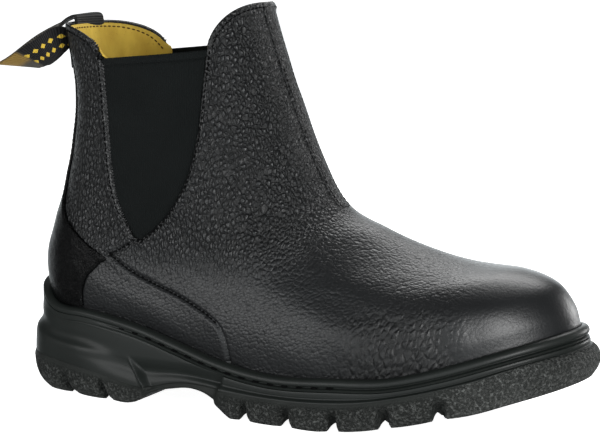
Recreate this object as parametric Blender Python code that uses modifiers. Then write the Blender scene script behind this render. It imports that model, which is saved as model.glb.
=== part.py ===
"""A right-foot pull-on safety boot with elastic side gores, built as separate shoemaker's pieces.

The upper is a stack of closed rings that climb from the sole's rim over the toe cap and the vamp to
the collar. Every other piece is worked out from that surface or from its lowest ring.
Lengths are metres. X runs forward, from a line HEEL_CENTRE behind the middle of the heel tread, Y to
the wearer's left and Z up.
"""

import math
from collections import namedtuple

import bmesh
import bpy
import numpy as np
from mathutils import Matrix, Vector

# Driving sizes
SOLE_LENGTH = 0.290
HEEL_CENTRE = 0.042
TOE_INFLARE = 0.006
WAIST_OUTFLARE = 0.004
WALL = 0.0024
OVERLAY = 0.0012
OVERLAY_LIFT = 0.0006
GORE_THICKNESS = 0.0014
GORE_RECESS = 0.0006
GORE_CLEARANCE = 0.0005
GAP = 0.0003
WELD = 0.000001

# The last: one row for each ring from the rim of the sole up to the collar. Half widths are taken at
# four equal angles between heel and toe, heights at five equal angles from the back to the front.
Ring = namedtuple(
    "Ring",
    "x_back x_front heel waist ball toe z_back z_heel z_waist z_ball z_front swing",
)
RINGS = (
    Ring(0.0085, 0.2806, 0.0305, 0.0385, 0.0488, 0.0365, 0.0545, 0.0450, 0.0245, 0.0380, 0.0475, 1.00),
    Ring(0.0070, 0.2776, 0.0317, 0.0400, 0.0502, 0.0372, 0.0605, 0.0510, 0.0325, 0.0462, 0.0570, 1.00),
    Ring(0.0072, 0.2696, 0.0322, 0.0402, 0.0496, 0.0362, 0.0665, 0.0575, 0.0410, 0.0550, 0.0665, 1.00),
    Ring(0.0085, 0.2545, 0.0320, 0.0390, 0.0470, 0.0325, 0.0725, 0.0640, 0.0500, 0.0620, 0.0722, 1.00),
    Ring(0.0106, 0.2340, 0.0314, 0.0378, 0.0437, 0.0280, 0.0790, 0.0710, 0.0590, 0.0675, 0.0738, 0.90),
    Ring(0.0131, 0.2113, 0.0305, 0.0368, 0.0409, 0.0248, 0.0860, 0.0790, 0.0680, 0.0735, 0.0787, 0.75),
    Ring(0.0163, 0.1880, 0.0294, 0.0362, 0.0390, 0.0230, 0.0950, 0.0880, 0.0785, 0.0825, 0.0872, 0.55),
    Ring(0.0197, 0.1674, 0.0284, 0.0358, 0.0380, 0.0226, 0.1070, 0.1010, 0.0930, 0.0945, 0.0970, 0.35),
    Ring(0.0232, 0.1540, 0.0276, 0.0354, 0.0372, 0.0226, 0.1240, 0.1190, 0.1130, 0.1150, 0.1170, 0.18),
    Ring(0.0255, 0.1385, 0.0268, 0.0350, 0.0366, 0.0226, 0.1500, 0.1450, 0.1420, 0.1470, 0.1540, 0.06),
    Ring(0.0197, 0.1245, 0.0262, 0.0346, 0.0362, 0.0228, 0.1830, 0.1700, 0.1700, 0.1800, 0.1930, 0.00),
)
TOP = len(RINGS) - 1
COLLAR_START = TOP - 1

# The collar's edge seen from the side: a tab in front, a straight top on the gore and a tab behind.
GORE_TOP_BACK = (0.0515, 0.1670)
GORE_TOP_FRONT = (0.1074, 0.1725)
FRONT_TAB_HEIGHT = 0.0208
FRONT_TAB_LENGTH = 0.0171
BACK_TAB_HEIGHT = 0.0150
BACK_TAB_LENGTH = 0.0318
FRONT_TAB_SQUARENESS = 1.65
BACK_TAB_SQUARENESS = 2.0

# The gore's two edges seen from the side, from its rounded foot to the collar.
GoreRow = namedtuple("GoreRow", "height x_back x_front")
GORE = (
    GoreRow(0.0805, 0.0710, 0.0752),
    GoreRow(0.0845, 0.0683, 0.0810),
    GoreRow(0.0910, 0.0642, 0.0880),
    GoreRow(0.1000, 0.0599, 0.0950),
    GoreRow(0.1120, 0.0571, 0.1010),
    GoreRow(0.1280, 0.0551, 0.1052),
    GoreRow(0.1480, 0.0533, 0.1070),
    GoreRow(0.1720, 0.0515, 0.1074),
)

# The heel counter and its strip up the back: how far round it reaches, in degrees, at each ring level.
CounterRow = namedtuple("CounterRow", "level reach")
COUNTER = (
    CounterRow(0.15, 40.0),
    CounterRow(1.50, 42.0),
    CounterRow(2.50, 45.0),
    CounterRow(3.60, 50.0),
    CounterRow(4.30, 52.5),
    CounterRow(4.65, 46.0),
    CounterRow(5.10, 39.0),
    CounterRow(5.60, 31.0),
    CounterRow(6.20, 24.5),
    CounterRow(7.00, 20.0),
    CounterRow(8.00, 18.2),
    CounterRow(9.00, 18.0),
    CounterRow(9.92, 18.5),
)

# The front strap down the shaft
STRAP_HALF_WIDTH = 0.0056
STRAP_FOOT = 7.00
STRAP_HEAD = 9.95

# The sole's heights along its length, read at x
SoleRow = namedtuple("SoleRow", "x floor tread")
SOLE = (
    SoleRow(-0.006, 0.0060, 0.0170),
    SoleRow(0.004, 0.0022, 0.0170),
    SoleRow(0.014, 0.0000, 0.0168),
    SoleRow(0.030, 0.0000, 0.0155),
    SoleRow(0.052, 0.0000, 0.0132),
    SoleRow(0.068, 0.0000, 0.0108),
    SoleRow(0.075, 0.0018, 0.0098),
    SoleRow(0.082, 0.0062, 0.0100),
    SoleRow(0.094, 0.0097, 0.0130),
    SoleRow(0.105, 0.0110, 0.0143),
    SoleRow(0.113, 0.0095, 0.0142),
    SoleRow(0.120, 0.0058, 0.0138),
    SoleRow(0.129, 0.0000, 0.0134),
    SoleRow(0.150, 0.0000, 0.0130),
    SoleRow(0.174, 0.0000, 0.0136),
    SoleRow(0.196, 0.0022, 0.0158),
    SoleRow(0.217, 0.0060, 0.0200),
    SoleRow(0.234, 0.0097, 0.0242),
    SoleRow(0.249, 0.0128, 0.0285),
    SoleRow(0.262, 0.0168, 0.0330),
    SoleRow(0.275, 0.0205, 0.0366),
    SoleRow(0.291, 0.0252, 0.0386),
)
SEAT_DEPTH = 0.0060
BED_DEPTH = SEAT_DEPTH + GAP

# The rim's line against the lowest ring, read at x: it dips beside the heel, rides high at the waist and
# low at the ball. The rings above it follow it less and less.
RimRow = namedtuple("RimRow", "x lift")
RIM_LINE = (
    RimRow(0.0085, 0.0000),
    RimRow(0.0130, -0.0028),
    RimRow(0.0180, -0.0060),
    RimRow(0.0240, -0.0074),
    RimRow(0.0300, -0.0066),
    RimRow(0.0400, -0.0038),
    RimRow(0.0570, -0.0004),
    RimRow(0.0760, 0.0019),
    RimRow(0.0980, 0.0019),
    RimRow(0.1210, 0.0004),
    RimRow(0.1500, -0.0006),
    RimRow(0.1830, -0.0006),
    RimRow(0.2100, -0.0028),
    RimRow(0.2300, -0.0026),
    RimRow(0.2600, -0.0010),
    RimRow(0.2806, 0.0000),
)
RIM_LINE_LEVELS = 3.0

# The footbed
INSOLE_THICKNESS = 0.0035
INSOLE_CLEARANCE = 0.0004

# The side of the sole: outward growth from the upper's lowest ring behind the heel, beside the heel,
# beside the forefoot and before the toe, at shares of a layer's height.
SideRow = namedtuple("SideRow", "share back heel fore toe")
MIDSOLE_SIDE = (
    SideRow(0.00, 0.0122, 0.0056, 0.0044, 0.0046),
    SideRow(0.30, 0.0118, 0.0060, 0.0048, 0.0050),
    SideRow(0.48, 0.0104, 0.0054, 0.0048, 0.0052),
    SideRow(0.56, 0.0078, 0.0036, 0.0046, 0.0050),
    SideRow(0.88, 0.0074, 0.0032, 0.0038, 0.0044),
    SideRow(1.00, 0.0050, 0.0018, 0.0016, 0.0024),
)
TREAD_SIDE = (
    SideRow(0.00, 0.0090, 0.0026, 0.0040, 0.0060),
    SideRow(0.22, 0.0122, 0.0060, 0.0062, 0.0084),
    SideRow(0.75, 0.0128, 0.0066, 0.0064, 0.0090),
    SideRow(1.00, 0.0122, 0.0058, 0.0054, 0.0056),
)
BACK_BLEND = (0.000, 0.032)
HEEL_BLEND = (0.055, 0.090)
TOE_BLEND = (0.245, 0.282)

# The welt's cross-section: outward growth and height below the rim. It stands out further behind.
WELT_BACK = 1.45
WeltRow = namedtuple("WeltRow", "grow drop")
WELT = (
    WeltRow(0.0026, SEAT_DEPTH),
    WeltRow(0.0038, 0.0047),
    WeltRow(0.0042, 0.0030),
    WeltRow(0.0037, 0.0013),
    WeltRow(0.0024, 0.0003),
    WeltRow(0.0011, 0.0001),
    WeltRow(GAP, 0.0010),
    WeltRow(GAP, SEAT_DEPTH),
)

# Tread grooves: places along the sole, and the size of each notch in its edge
FORE_NOTCHES = (0.1370, 0.1600, 0.1840, 0.2088, 0.2326)
HEEL_NOTCHES = (0.0120, 0.0320, 0.0550)
HEEL_GROOVES = HEEL_NOTCHES[1:]
FORE_NOTCH_WIDTH = 0.0046
HEEL_NOTCH_WIDTH = 0.0034
NOTCH_DEPTH = 0.0055
NOTCH_HEIGHT = 0.0095
GROOVE_DEPTH = 0.0034
GROOVE_WIDTH = 0.0042
CUTTER_SPAN = 0.140

# The pull loop: a tape that runs from inside the collar over its back edge, out to a fold and back to
# the outside. Each row places its far edge, its near edge and how far its middle bows backward.
TAPE_THICKNESS = 0.0013
TapeRow = namedtuple("TapeRow", "far_x far_y far_z near_x near_y near_z bow")
TAPE = (
    TapeRow(0.0298, 0.0158, 0.1680, 0.0274, -0.0068, 0.1680, 0.0016),
    TapeRow(0.0276, 0.0158, 0.1805, 0.0252, -0.0068, 0.1805, 0.0016),
    TapeRow(0.0230, 0.0158, 0.1856, 0.0208, -0.0072, 0.1850, 0.0014),
    TapeRow(0.0118, 0.0105, 0.1838, 0.0152, -0.0106, 0.1788, 0.0008),
    TapeRow(-0.0060, 0.0030, 0.1735, 0.0080, -0.0095, 0.1670, 0.0000),
    TapeRow(-0.0215, -0.0020, 0.1630, 0.0000, -0.0060, 0.1605, 0.0000),
    TapeRow(-0.0240, -0.0050, 0.1602, 0.0005, -0.0065, 0.1585, 0.0000),
    TapeRow(-0.0205, -0.0080, 0.1612, 0.0025, -0.0100, 0.1592, 0.0000),
    TapeRow(-0.0050, -0.0045, 0.1680, 0.0100, -0.0135, 0.1630, 0.0000),
    TapeRow(0.0125, 0.0105, 0.1733, 0.0165, -0.0112, 0.1685, 0.0010),
    TapeRow(0.0219, 0.0158, 0.1690, 0.0182, -0.0068, 0.1690, 0.0013),
    TapeRow(0.0236, 0.0158, 0.1590, 0.0198, -0.0068, 0.1590, 0.0013),
)

# How finely the curved skins are divided
AROUND = 56
ROWS_PER_RING = 2
SOLE_AROUND = 56


def series_fit(function, angles, orders):
    """Matrix that turns values at the angles into the weights of a sine or cosine series."""
    return np.linalg.inv(function(np.outer(angles, orders)))


SINE_ORDERS = np.arange(1, 5)
COSINE_ORDERS = np.arange(0, 5)
SINE_FIT = series_fit(np.sin, SINE_ORDERS * math.pi / 5, SINE_ORDERS)
COSINE_FIT = series_fit(np.cos, COSINE_ORDERS * math.pi / 4, COSINE_ORDERS)
RING_ROWS = np.array(RINGS)


def read_table(rows, at):
    """The table's other columns at a value of its first column, on a smooth curve through the rows."""
    table = np.array(rows)
    keys = table[:, 0]
    at = min(max(at, keys[0]), keys[-1])
    k = min(int(np.searchsorted(keys, at, side="right")) - 1, len(keys) - 2)
    step = keys[k + 1] - keys[k]
    t = (at - keys[k]) / step
    slopes = np.gradient(table[:, 1:], keys, axis=0)
    h00, h10 = (1 + 2 * t) * (1 - t) ** 2, t * (1 - t) ** 2
    h01, h11 = t * t * (3 - 2 * t), t * t * (t - 1)
    here, there = table[k, 1:], table[k + 1, 1:]
    return h00 * here + h10 * step * slopes[k] + h01 * there + h11 * step * slopes[k + 1]


def smooth_step(low, high, at):
    """0 below low, 1 above high, and a smooth ramp between them."""
    t = min(max((at - low) / (high - low), 0.0), 1.0)
    return t * t * (3 - 2 * t)


def ring_at(level):
    """The ring at a level between the table's rings, on a smooth curve through them."""
    k = min(max(int(level), 0), TOP - 1)
    t = level - k
    here, there = RING_ROWS[k], RING_ROWS[k + 1]
    before = RING_ROWS[k - 1] if k > 0 else 2 * here - there
    after = RING_ROWS[k + 2] if k + 2 <= TOP else 2 * there - here
    row = 0.5 * (
        2 * here
        + (there - before) * t
        + (2 * before - 5 * here + 4 * there - after) * t * t
        + (3 * here - before - 3 * there + after) * t ** 3
    )
    return Ring(*row)


def tab_rise(share, squareness):
    """Share of a tab's height at a share of its length, on a rounded corner."""
    return (1 - (1 - min(share, 1.0)) ** squareness) ** (1 / squareness)


def collar_height(x):
    """Height of the collar's edge at x."""
    back_x, back_z = GORE_TOP_BACK
    front_x, front_z = GORE_TOP_FRONT
    if x > front_x:
        return front_z + FRONT_TAB_HEIGHT * tab_rise((x - front_x) / FRONT_TAB_LENGTH, FRONT_TAB_SQUARENESS)
    if x < back_x:
        return back_z + BACK_TAB_HEIGHT * tab_rise((back_x - x) / BACK_TAB_LENGTH, BACK_TAB_SQUARENESS)
    return back_z + (front_z - back_z) * (x - back_x) / (front_x - back_x)


def half_angle(angle):
    """The angle from the back, 0 to pi, and the side: -1 on the outer side and 1 on the inner side."""
    angle = angle % (2 * math.pi)
    return (angle, -1) if angle <= math.pi else (2 * math.pi - angle, 1)


def swing(x):
    """Sideways bend of the last at x: out at the waist, in at the toe."""
    share = min(max(x / SOLE_LENGTH, 0.0), 1.0)
    return TOE_INFLARE * share ** 5 - WAIST_OUTFLARE * math.sin(math.pi * share) ** 2


def ring_height(ring, angle):
    heights = COSINE_FIT @ np.array(ring[6:11])
    return float(np.cos(COSINE_ORDERS * half_angle(angle)[0]) @ heights)


def plan_point(ring, angle):
    """The ring's point at an angle, seen from above."""
    turn, side = half_angle(angle)
    x = ring.x_back + (ring.x_front - ring.x_back) * (1 - math.cos(turn)) / 2
    half = float(np.sin(SINE_ORDERS * turn) @ (SINE_FIT @ np.array(ring[2:6])))
    return x, side * half + ring.swing * swing(x)


def rim_lift(x, level):
    """Extra height of the lowest rings at x, by the rim's line."""
    return float(read_table(RIM_LINE, x)[0]) * (1 - smooth_step(0.0, RIM_LINE_LEVELS, level))


def upper_point(angle, level):
    """A point of the upper's outer face. Below level 0 the wall goes straight down into the sole."""
    ring = ring_at(max(level, 0.0))
    x, y = plan_point(ring, angle)
    if level > COLLAR_START:
        share = level - COLLAR_START
        low = ring_height(RINGS[COLLAR_START], angle)
        z = low + (collar_height(plan_point(RINGS[TOP], angle)[0]) - low) * share
    else:
        z = ring_height(ring, angle) + rim_lift(x, level) + SEAT_DEPTH * min(level, 0.0)
    return Vector((x, y, z))


def upper_normal(angle, level):
    small = 0.01
    along = upper_point(angle + small, level) - upper_point(angle - small, level)
    low, high = max(level - small, -1.0), min(level + small, TOP)
    return along.cross(upper_point(angle, high) - upper_point(angle, low)).normalized()


def lifted(angle, level, lift):
    """A point that stands off the upper's outer face by lift."""
    return upper_point(angle, level) + upper_normal(angle, level) * lift


def level_at_height(angle, height):
    low, high = 0.0, float(TOP)
    for _ in range(40):
        middle = (low + high) / 2
        if upper_point(angle, middle).z < height:
            low = middle
        else:
            high = middle
    return low


def side_place(x, height, side):
    """Angle and level of the upper's point that shows at x and height from that side."""
    level = 5.0
    angle = math.pi / 2
    for _ in range(12):
        ring = ring_at(level)
        cosine = 1 - 2 * (x - ring.x_back) / (ring.x_front - ring.x_back)
        angle = math.acos(min(max(cosine, -1.0), 1.0))
        level = level_at_height(angle, height)
    return (angle if side < 0 else 2 * math.pi - angle), level


def sole_point(angle, grow, share, z):
    """A point of a sole layer: the rim's outline grown outward, then narrowed to a share of its width."""
    ring = RINGS[0]
    small = 0.01
    x, y = plan_point(ring, angle)
    ahead, behind = plan_point(ring, angle + small), plan_point(ring, angle - small)
    outward = Vector((ahead[1] - behind[1], behind[0] - ahead[0])).normalized()
    edge = Vector((x, y)) + outward * grow
    x -= grow * math.cos(angle)
    middle = Vector((x, swing(x)))
    return Vector((*middle.lerp(edge, share), z))


def growth(table, share, x):
    """Outward growth of the sole's side at a share of its height."""
    back, heel, fore, toe = read_table(table, share)
    grown = back + (heel - back) * smooth_step(*BACK_BLEND, x)
    grown += (fore - heel) * smooth_step(*HEEL_BLEND, x)
    return grown + (toe - fore) * smooth_step(*TOE_BLEND, x)


def floor_height(x):
    return max(float(read_table(SOLE, x)[0]), 0.0)


def tread_height(x):
    return float(read_table(SOLE, x)[1])


def grid(columns, rows, place):
    """A grid whose corner at shares (across, up) lies at place(across, up), welded where it closes."""
    mesh = bmesh.new()
    bmesh.ops.create_grid(mesh, x_segments=columns, y_segments=rows, size=0.5)
    for vert in mesh.verts:
        vert.co = place(vert.co.x + 0.5, vert.co.y + 0.5)
    bmesh.ops.remove_doubles(mesh, verts=mesh.verts, dist=WELD)
    return mesh


def finish(name, colour, roughness, metallic=0.0):
    """A plain Principled material."""
    material = bpy.data.materials.new(name)
    material.use_nodes = True
    shader = material.node_tree.nodes["Principled BSDF"]
    shader.inputs["Base Color"].default_value = (*colour, 1.0)
    shader.inputs["Roughness"].default_value = roughness
    shader.inputs["Metallic"].default_value = metallic
    return material


def piece(name, mesh, material):
    """Makes a named object of the mesh in the boot's collection, under its frame."""
    data = bpy.data.meshes.new(name)
    mesh.to_mesh(data)
    mesh.free()
    data.shade_smooth()
    data.set_sharp_from_angle(angle=math.radians(50))
    data.materials.append(material)
    made = bpy.data.objects.new(name, data)
    BOOT.objects.link(made)
    made.parent = FRAME
    return made


def thicken(made, thickness, outward):
    """Gives an open skin its wall, inward or outward."""
    wall = made.modifiers.new("wall", "SOLIDIFY")
    wall.thickness = thickness
    wall.offset = 1.0 if outward else -1.0
    wall.use_even_offset = True
    return made


def cutter(name, mesh):
    """A hidden helper that a Boolean reads."""
    bmesh.ops.recalc_face_normals(mesh, faces=mesh.faces)
    data = bpy.data.meshes.new(name)
    mesh.to_mesh(data)
    mesh.free()
    made = bpy.data.objects.new(name, data)
    CUTTERS.objects.link(made)
    made.parent = FRAME
    made.hide_render = True
    made.display_type = "WIRE"
    return made


def cut(made, tool):
    difference = made.modifiers.new("cut_" + tool.name, "BOOLEAN")
    difference.operation = "DIFFERENCE"
    difference.object = tool


def gore_edges(height, inset):
    """The gore's back and front edge at a height, drawn in by inset."""
    back, front = read_table(GORE, height)
    return back + inset, front - inset


def gore_window():
    """A prism across the boot with the gore's outline, longer at the top than the collar."""
    low, high = GORE[0].height, GORE[-1].height
    above = 0.030
    heights = [low + (high - low) * k / 14 for k in range(15)]
    back = [(gore_edges(h, 0.0)[0], h) for h in heights] + [(GORE[-1].x_back, high + above)]
    front = [(gore_edges(h, 0.0)[1], h) for h in heights] + [(GORE[-1].x_front, high + above)]
    mesh = bmesh.new()
    outline = [mesh.verts.new((x, -CUTTER_SPAN / 2, z)) for x, z in front + back[::-1]]
    face = mesh.faces.new(outline)
    prism = bmesh.ops.extrude_face_region(mesh, geom=[face])
    moved = [part for part in prism["geom"] if isinstance(part, bmesh.types.BMVert)]
    bmesh.ops.translate(mesh, verts=moved, vec=(0, CUTTER_SPAN, 0))
    return cutter("gore_window", mesh)


def shared_levels(low, high):
    """Levels from low to high that fall on the upper's own rows, so that overlays bend where it bends."""
    rows = [k / ROWS_PER_RING for k in range(TOP * ROWS_PER_RING + 1)]
    return [low] + [row for row in rows if low + 0.1 < row < high - 0.1] + [high]


def make_upper():
    """Leather vamp and quarters: one wall, open at the collar and underneath, with two gore windows."""
    steps = (TOP + 1) * ROWS_PER_RING

    def place(across, up):
        return upper_point(across * 2 * math.pi, -1.0 + up * (TOP + 1.0))

    made = piece("upper", grid(AROUND, steps, place), LEATHER)
    thicken(made, WALL, outward=False)
    cut(made, gore_window())


def make_gore(name, side):
    """An elastic panel set into the upper's window, a little below the leather's face."""
    low = GORE[0].height + GORE_CLEARANCE

    def place(across, up):
        top = collar_height(GORE[-1].x_back + across * (GORE[-1].x_front - GORE[-1].x_back))
        height = low + (top - low) * up
        back, front = gore_edges(height, GORE_CLEARANCE)
        x = back + (front - back) * across
        angle, level = side_place(x, height, side)
        return lifted(angle, level, -GORE_RECESS)

    mesh = grid(7, 11, place)
    if side > 0:
        bmesh.ops.reverse_faces(mesh, faces=mesh.faces)
    thicken(piece(name, mesh, ELASTIC), GORE_THICKNESS, outward=False)


def make_counter():
    """Heel counter with its strip up the back seam, laid over the upper."""
    levels = shared_levels(COUNTER[0].level, COUNTER[-1].level)

    def place(across, up):
        level = levels[round(up * (len(levels) - 1))]
        reach = math.radians(float(read_table(COUNTER, level)[0]))
        return lifted((2 * across - 1) * reach, level, OVERLAY_LIFT)

    made = piece("heel_counter", grid(18, len(levels) - 1, place), SMOOTH_LEATHER)
    thicken(made, OVERLAY, outward=True)


def strap_angle(level, offset):
    """Angle at which the front of the upper is offset sideways from its middle line."""
    ring = ring_at(level)
    low, high = math.pi / 2, math.pi
    for _ in range(40):
        middle = (low + high) / 2
        half = -plan_point(ring, middle)[1] + ring.swing * swing(plan_point(ring, middle)[0])
        if half > abs(offset):
            low = middle
        else:
            high = middle
    return low if offset < 0 else 2 * math.pi - low


def make_strap():
    """Narrow strap that covers the front seam from the throat to the collar."""
    levels = shared_levels(STRAP_FOOT, STRAP_HEAD)

    def place(across, up):
        level = levels[round(up * (len(levels) - 1))]
        return lifted(strap_angle(level, (2 * across - 1) * STRAP_HALF_WIDTH), level, OVERLAY_LIFT)

    made = piece("front_strap", grid(6, len(levels) - 1, place), LEATHER)
    thicken(made, OVERLAY, outward=True)


def layer(columns, levels, place_level):
    """A closed sole layer: its side levels, with a top and a bottom drawn in to the middle line."""
    inner = (0.0, 0.5)
    rows = [(0, share) for share in inner]
    rows += [(k, 1.0) for k in range(levels)]
    rows += [(levels - 1, share) for share in reversed(inner)]

    def place(across, up):
        level, share = rows[round(up * (len(rows) - 1))]
        return place_level(across * 2 * math.pi, level, share)

    return grid(columns, len(rows) - 1, place)


def rim_drop(angle, drop):
    """Height at a drop below the rim's line."""
    return ring_height(RINGS[0], angle) + rim_lift(plan_point(RINGS[0], angle)[0], 0.0) - drop


def make_welt():
    """Rounded rim that wraps the foot of the upper."""
    def place(across, up):
        row = WELT[round(up * len(WELT)) % len(WELT)]
        angle = across * 2 * math.pi
        behind = 1.0 - smooth_step(*BACK_BLEND, plan_point(RINGS[0], angle)[0])
        grow = GAP + (row.grow - GAP) * (1.0 + (WELT_BACK - 1.0) * behind)
        return sole_point(angle, grow, 1.0, rim_drop(angle, row.drop))

    piece("welt", grid(SOLE_AROUND, len(WELT), place), RUBBER)


def make_midsole():
    """Smooth-sided midsole between the tread and the welt, with the ledge round its heel."""
    def place(angle, level, share):
        row = MIDSOLE_SIDE[level]
        x = sole_point(angle, 0.0, 1.0, 0.0).x
        point = sole_point(angle, growth(MIDSOLE_SIDE, row.share, x), share, 0.0)
        low, high = tread_height(point.x) + GAP, rim_drop(angle, BED_DEPTH)
        point.z = low + (high - low) * row.share
        return point

    piece("midsole", layer(SOLE_AROUND, len(MIDSOLE_SIDE), place), RUBBER)


def notch_box(mesh, x, side, width):
    """A box that bites into the edge of the tread at x on one side."""
    angle = math.acos(1 - 2 * (x - RINGS[0].x_back) / (RINGS[0].x_front - RINGS[0].x_back))
    angle = angle if side < 0 else 2 * math.pi - angle
    grown = growth(TREAD_SIDE, 0.5, x)
    edge = sole_point(angle, grown, 1.0, floor_height(x))
    outward = (edge - sole_point(angle, 0.0, 1.0, floor_height(x))).normalized()
    made = bmesh.ops.create_cube(mesh, size=1.0)["verts"]
    bmesh.ops.scale(mesh, verts=made, vec=(2 * NOTCH_DEPTH, width, 2 * NOTCH_HEIGHT))
    turn = Matrix.Rotation(math.atan2(outward.y, outward.x), 3, "Z")
    bmesh.ops.rotate(mesh, verts=made, cent=(0, 0, 0), matrix=turn)
    bmesh.ops.translate(mesh, verts=made, vec=edge)


def groove_box(mesh, x):
    """A shallow groove right across the tread at x."""
    made = bmesh.ops.create_cube(mesh, size=1.0)["verts"]
    bmesh.ops.scale(mesh, verts=made, vec=(GROOVE_WIDTH, CUTTER_SPAN, 2 * GROOVE_DEPTH))
    bmesh.ops.translate(mesh, verts=made, vec=(x, 0, floor_height(x)))


def make_outsole():
    """Tread of heel and forefoot with a thin waist, notched into lugs."""
    def place(angle, level, share):
        row = TREAD_SIDE[level]
        x = sole_point(angle, 0.0, 1.0, 0.0).x
        point = sole_point(angle, growth(TREAD_SIDE, row.share, x), share, 0.0)
        low, high = floor_height(point.x), tread_height(point.x)
        point.z = low + (high - low) * row.share
        return point

    made = piece("outsole", layer(SOLE_AROUND, len(TREAD_SIDE), place), TREAD)
    for name, places, width in (
        ("fore", FORE_NOTCHES, FORE_NOTCH_WIDTH),
        ("heel", HEEL_NOTCHES, HEEL_NOTCH_WIDTH),
    ):
        for number, x in enumerate(places):
            for side, hand in ((-1, "outer"), (1, "inner")):
                mesh = bmesh.new()
                notch_box(mesh, x, side, width)
                cut(made, cutter(f"{name}_notch_{hand}_{number}", mesh))
    for number, x in enumerate(HEEL_GROOVES + FORE_NOTCHES):
        mesh = bmesh.new()
        groove_box(mesh, x)
        cut(made, cutter(f"groove_{number}", mesh))


def make_insole():
    """Flat footbed inside the upper, on top of the midsole."""
    inset = -(WALL + INSOLE_CLEARANCE)
    drops = (SEAT_DEPTH - GAP, SEAT_DEPTH - GAP - INSOLE_THICKNESS)

    def place(angle, level, share):
        return sole_point(angle, inset, share, rim_drop(angle, drops[level]))

    piece("insole", layer(SOLE_AROUND, len(drops), place), LINING)


def smooth_row(rows, at):
    """A row between rows, on a smooth curve through them, with at counted in rows."""
    keyed = [(number, *row) for number, row in enumerate(rows)]
    return read_table(keyed, at)


def make_loop():
    """Pull loop of woven tape at the back of the collar."""
    last = len(TAPE) - 1

    def place(across, up):
        row = TapeRow(*smooth_row(TAPE, up * last))
        near = Vector((row.near_x, row.near_y, row.near_z))
        far = Vector((row.far_x, row.far_y, row.far_z))
        point = near.lerp(far, across)
        point.x -= row.bow * (1 - (2 * across - 1) ** 2)
        return point

    made = piece("pull_loop", grid(4, 2 * last, place), TAPE_FABRIC)
    thicken(made, TAPE_THICKNESS, outward=False).modifiers["wall"].offset = 0.0


for old in list(bpy.data.objects):
    bpy.data.objects.remove(old)
BOOT = bpy.data.collections.new("safety_boot")
CUTTERS = bpy.data.collections.new("cutters")
for collection in (BOOT, CUTTERS):
    bpy.context.scene.collection.children.link(collection)
FRAME = bpy.data.objects.new("boot_frame", None)
FRAME.location = (-HEEL_CENTRE, 0, 0)
BOOT.objects.link(FRAME)

LEATHER = finish("pebbled_leather", (0.020, 0.020, 0.022), 0.45)
SMOOTH_LEATHER = finish("smooth_leather", (0.014, 0.014, 0.015), 0.35)
ELASTIC = finish("elastic", (0.010, 0.011, 0.011), 0.85)
RUBBER = finish("sole_rubber", (0.022, 0.023, 0.022), 0.50)
TREAD = finish("tread_rubber", (0.020, 0.020, 0.020), 0.75)
LINING = finish("lining", (0.55, 0.40, 0.10), 0.70)
TAPE_FABRIC = finish("loop_tape", (0.030, 0.029, 0.028), 0.80)

make_upper()
make_gore("gore_outer", -1)
make_gore("gore_inner", 1)
make_counter()
make_strap()
make_welt()
make_midsole()
make_outsole()
make_insole()
make_loop()
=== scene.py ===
"""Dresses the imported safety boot: leather upper, elastic gores, woven pull loop and moulded sole.

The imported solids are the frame. Each section makes one real piece over the same last. Lengths are
metres. X runs forward from the middle of the heel tread, Y to the wearer's left and Z up.
"""

import math

import bmesh
import bpy
import numpy as np
from mathutils import Matrix, Vector
from mathutils.kdtree import KDTree


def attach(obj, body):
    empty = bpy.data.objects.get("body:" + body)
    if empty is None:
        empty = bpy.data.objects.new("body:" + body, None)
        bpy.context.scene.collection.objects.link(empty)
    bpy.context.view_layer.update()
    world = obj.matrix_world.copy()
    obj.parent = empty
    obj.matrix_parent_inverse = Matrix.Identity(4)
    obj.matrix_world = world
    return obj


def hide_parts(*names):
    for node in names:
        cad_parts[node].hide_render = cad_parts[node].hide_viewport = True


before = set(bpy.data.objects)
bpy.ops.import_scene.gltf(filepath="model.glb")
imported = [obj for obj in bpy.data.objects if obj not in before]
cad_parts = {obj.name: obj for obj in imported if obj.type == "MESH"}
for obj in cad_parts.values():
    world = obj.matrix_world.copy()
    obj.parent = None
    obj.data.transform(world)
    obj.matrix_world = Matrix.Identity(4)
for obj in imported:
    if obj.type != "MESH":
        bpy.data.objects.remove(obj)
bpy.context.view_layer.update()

# Upper
# The vamp, quarters and shaft are one skin of black cowhide, pulled over a last and lasted under the
# sole's rim. Its edges at the gores and the collar are folded under and sewn, and the grain is coarse
# on the shaft, drawn out over the vamp and pressed smooth over the toe cap.

SOLE_LENGTH = 0.290
HEEL_CENTRE = 0.042
TOE_INFLARE = 0.006
WAIST_OUTFLARE = 0.004
SEAT_DEPTH = 0.0060
ANGLE_STEP = 0.01
PLACE_ROUNDS = 12
HALVINGS = 30

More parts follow.
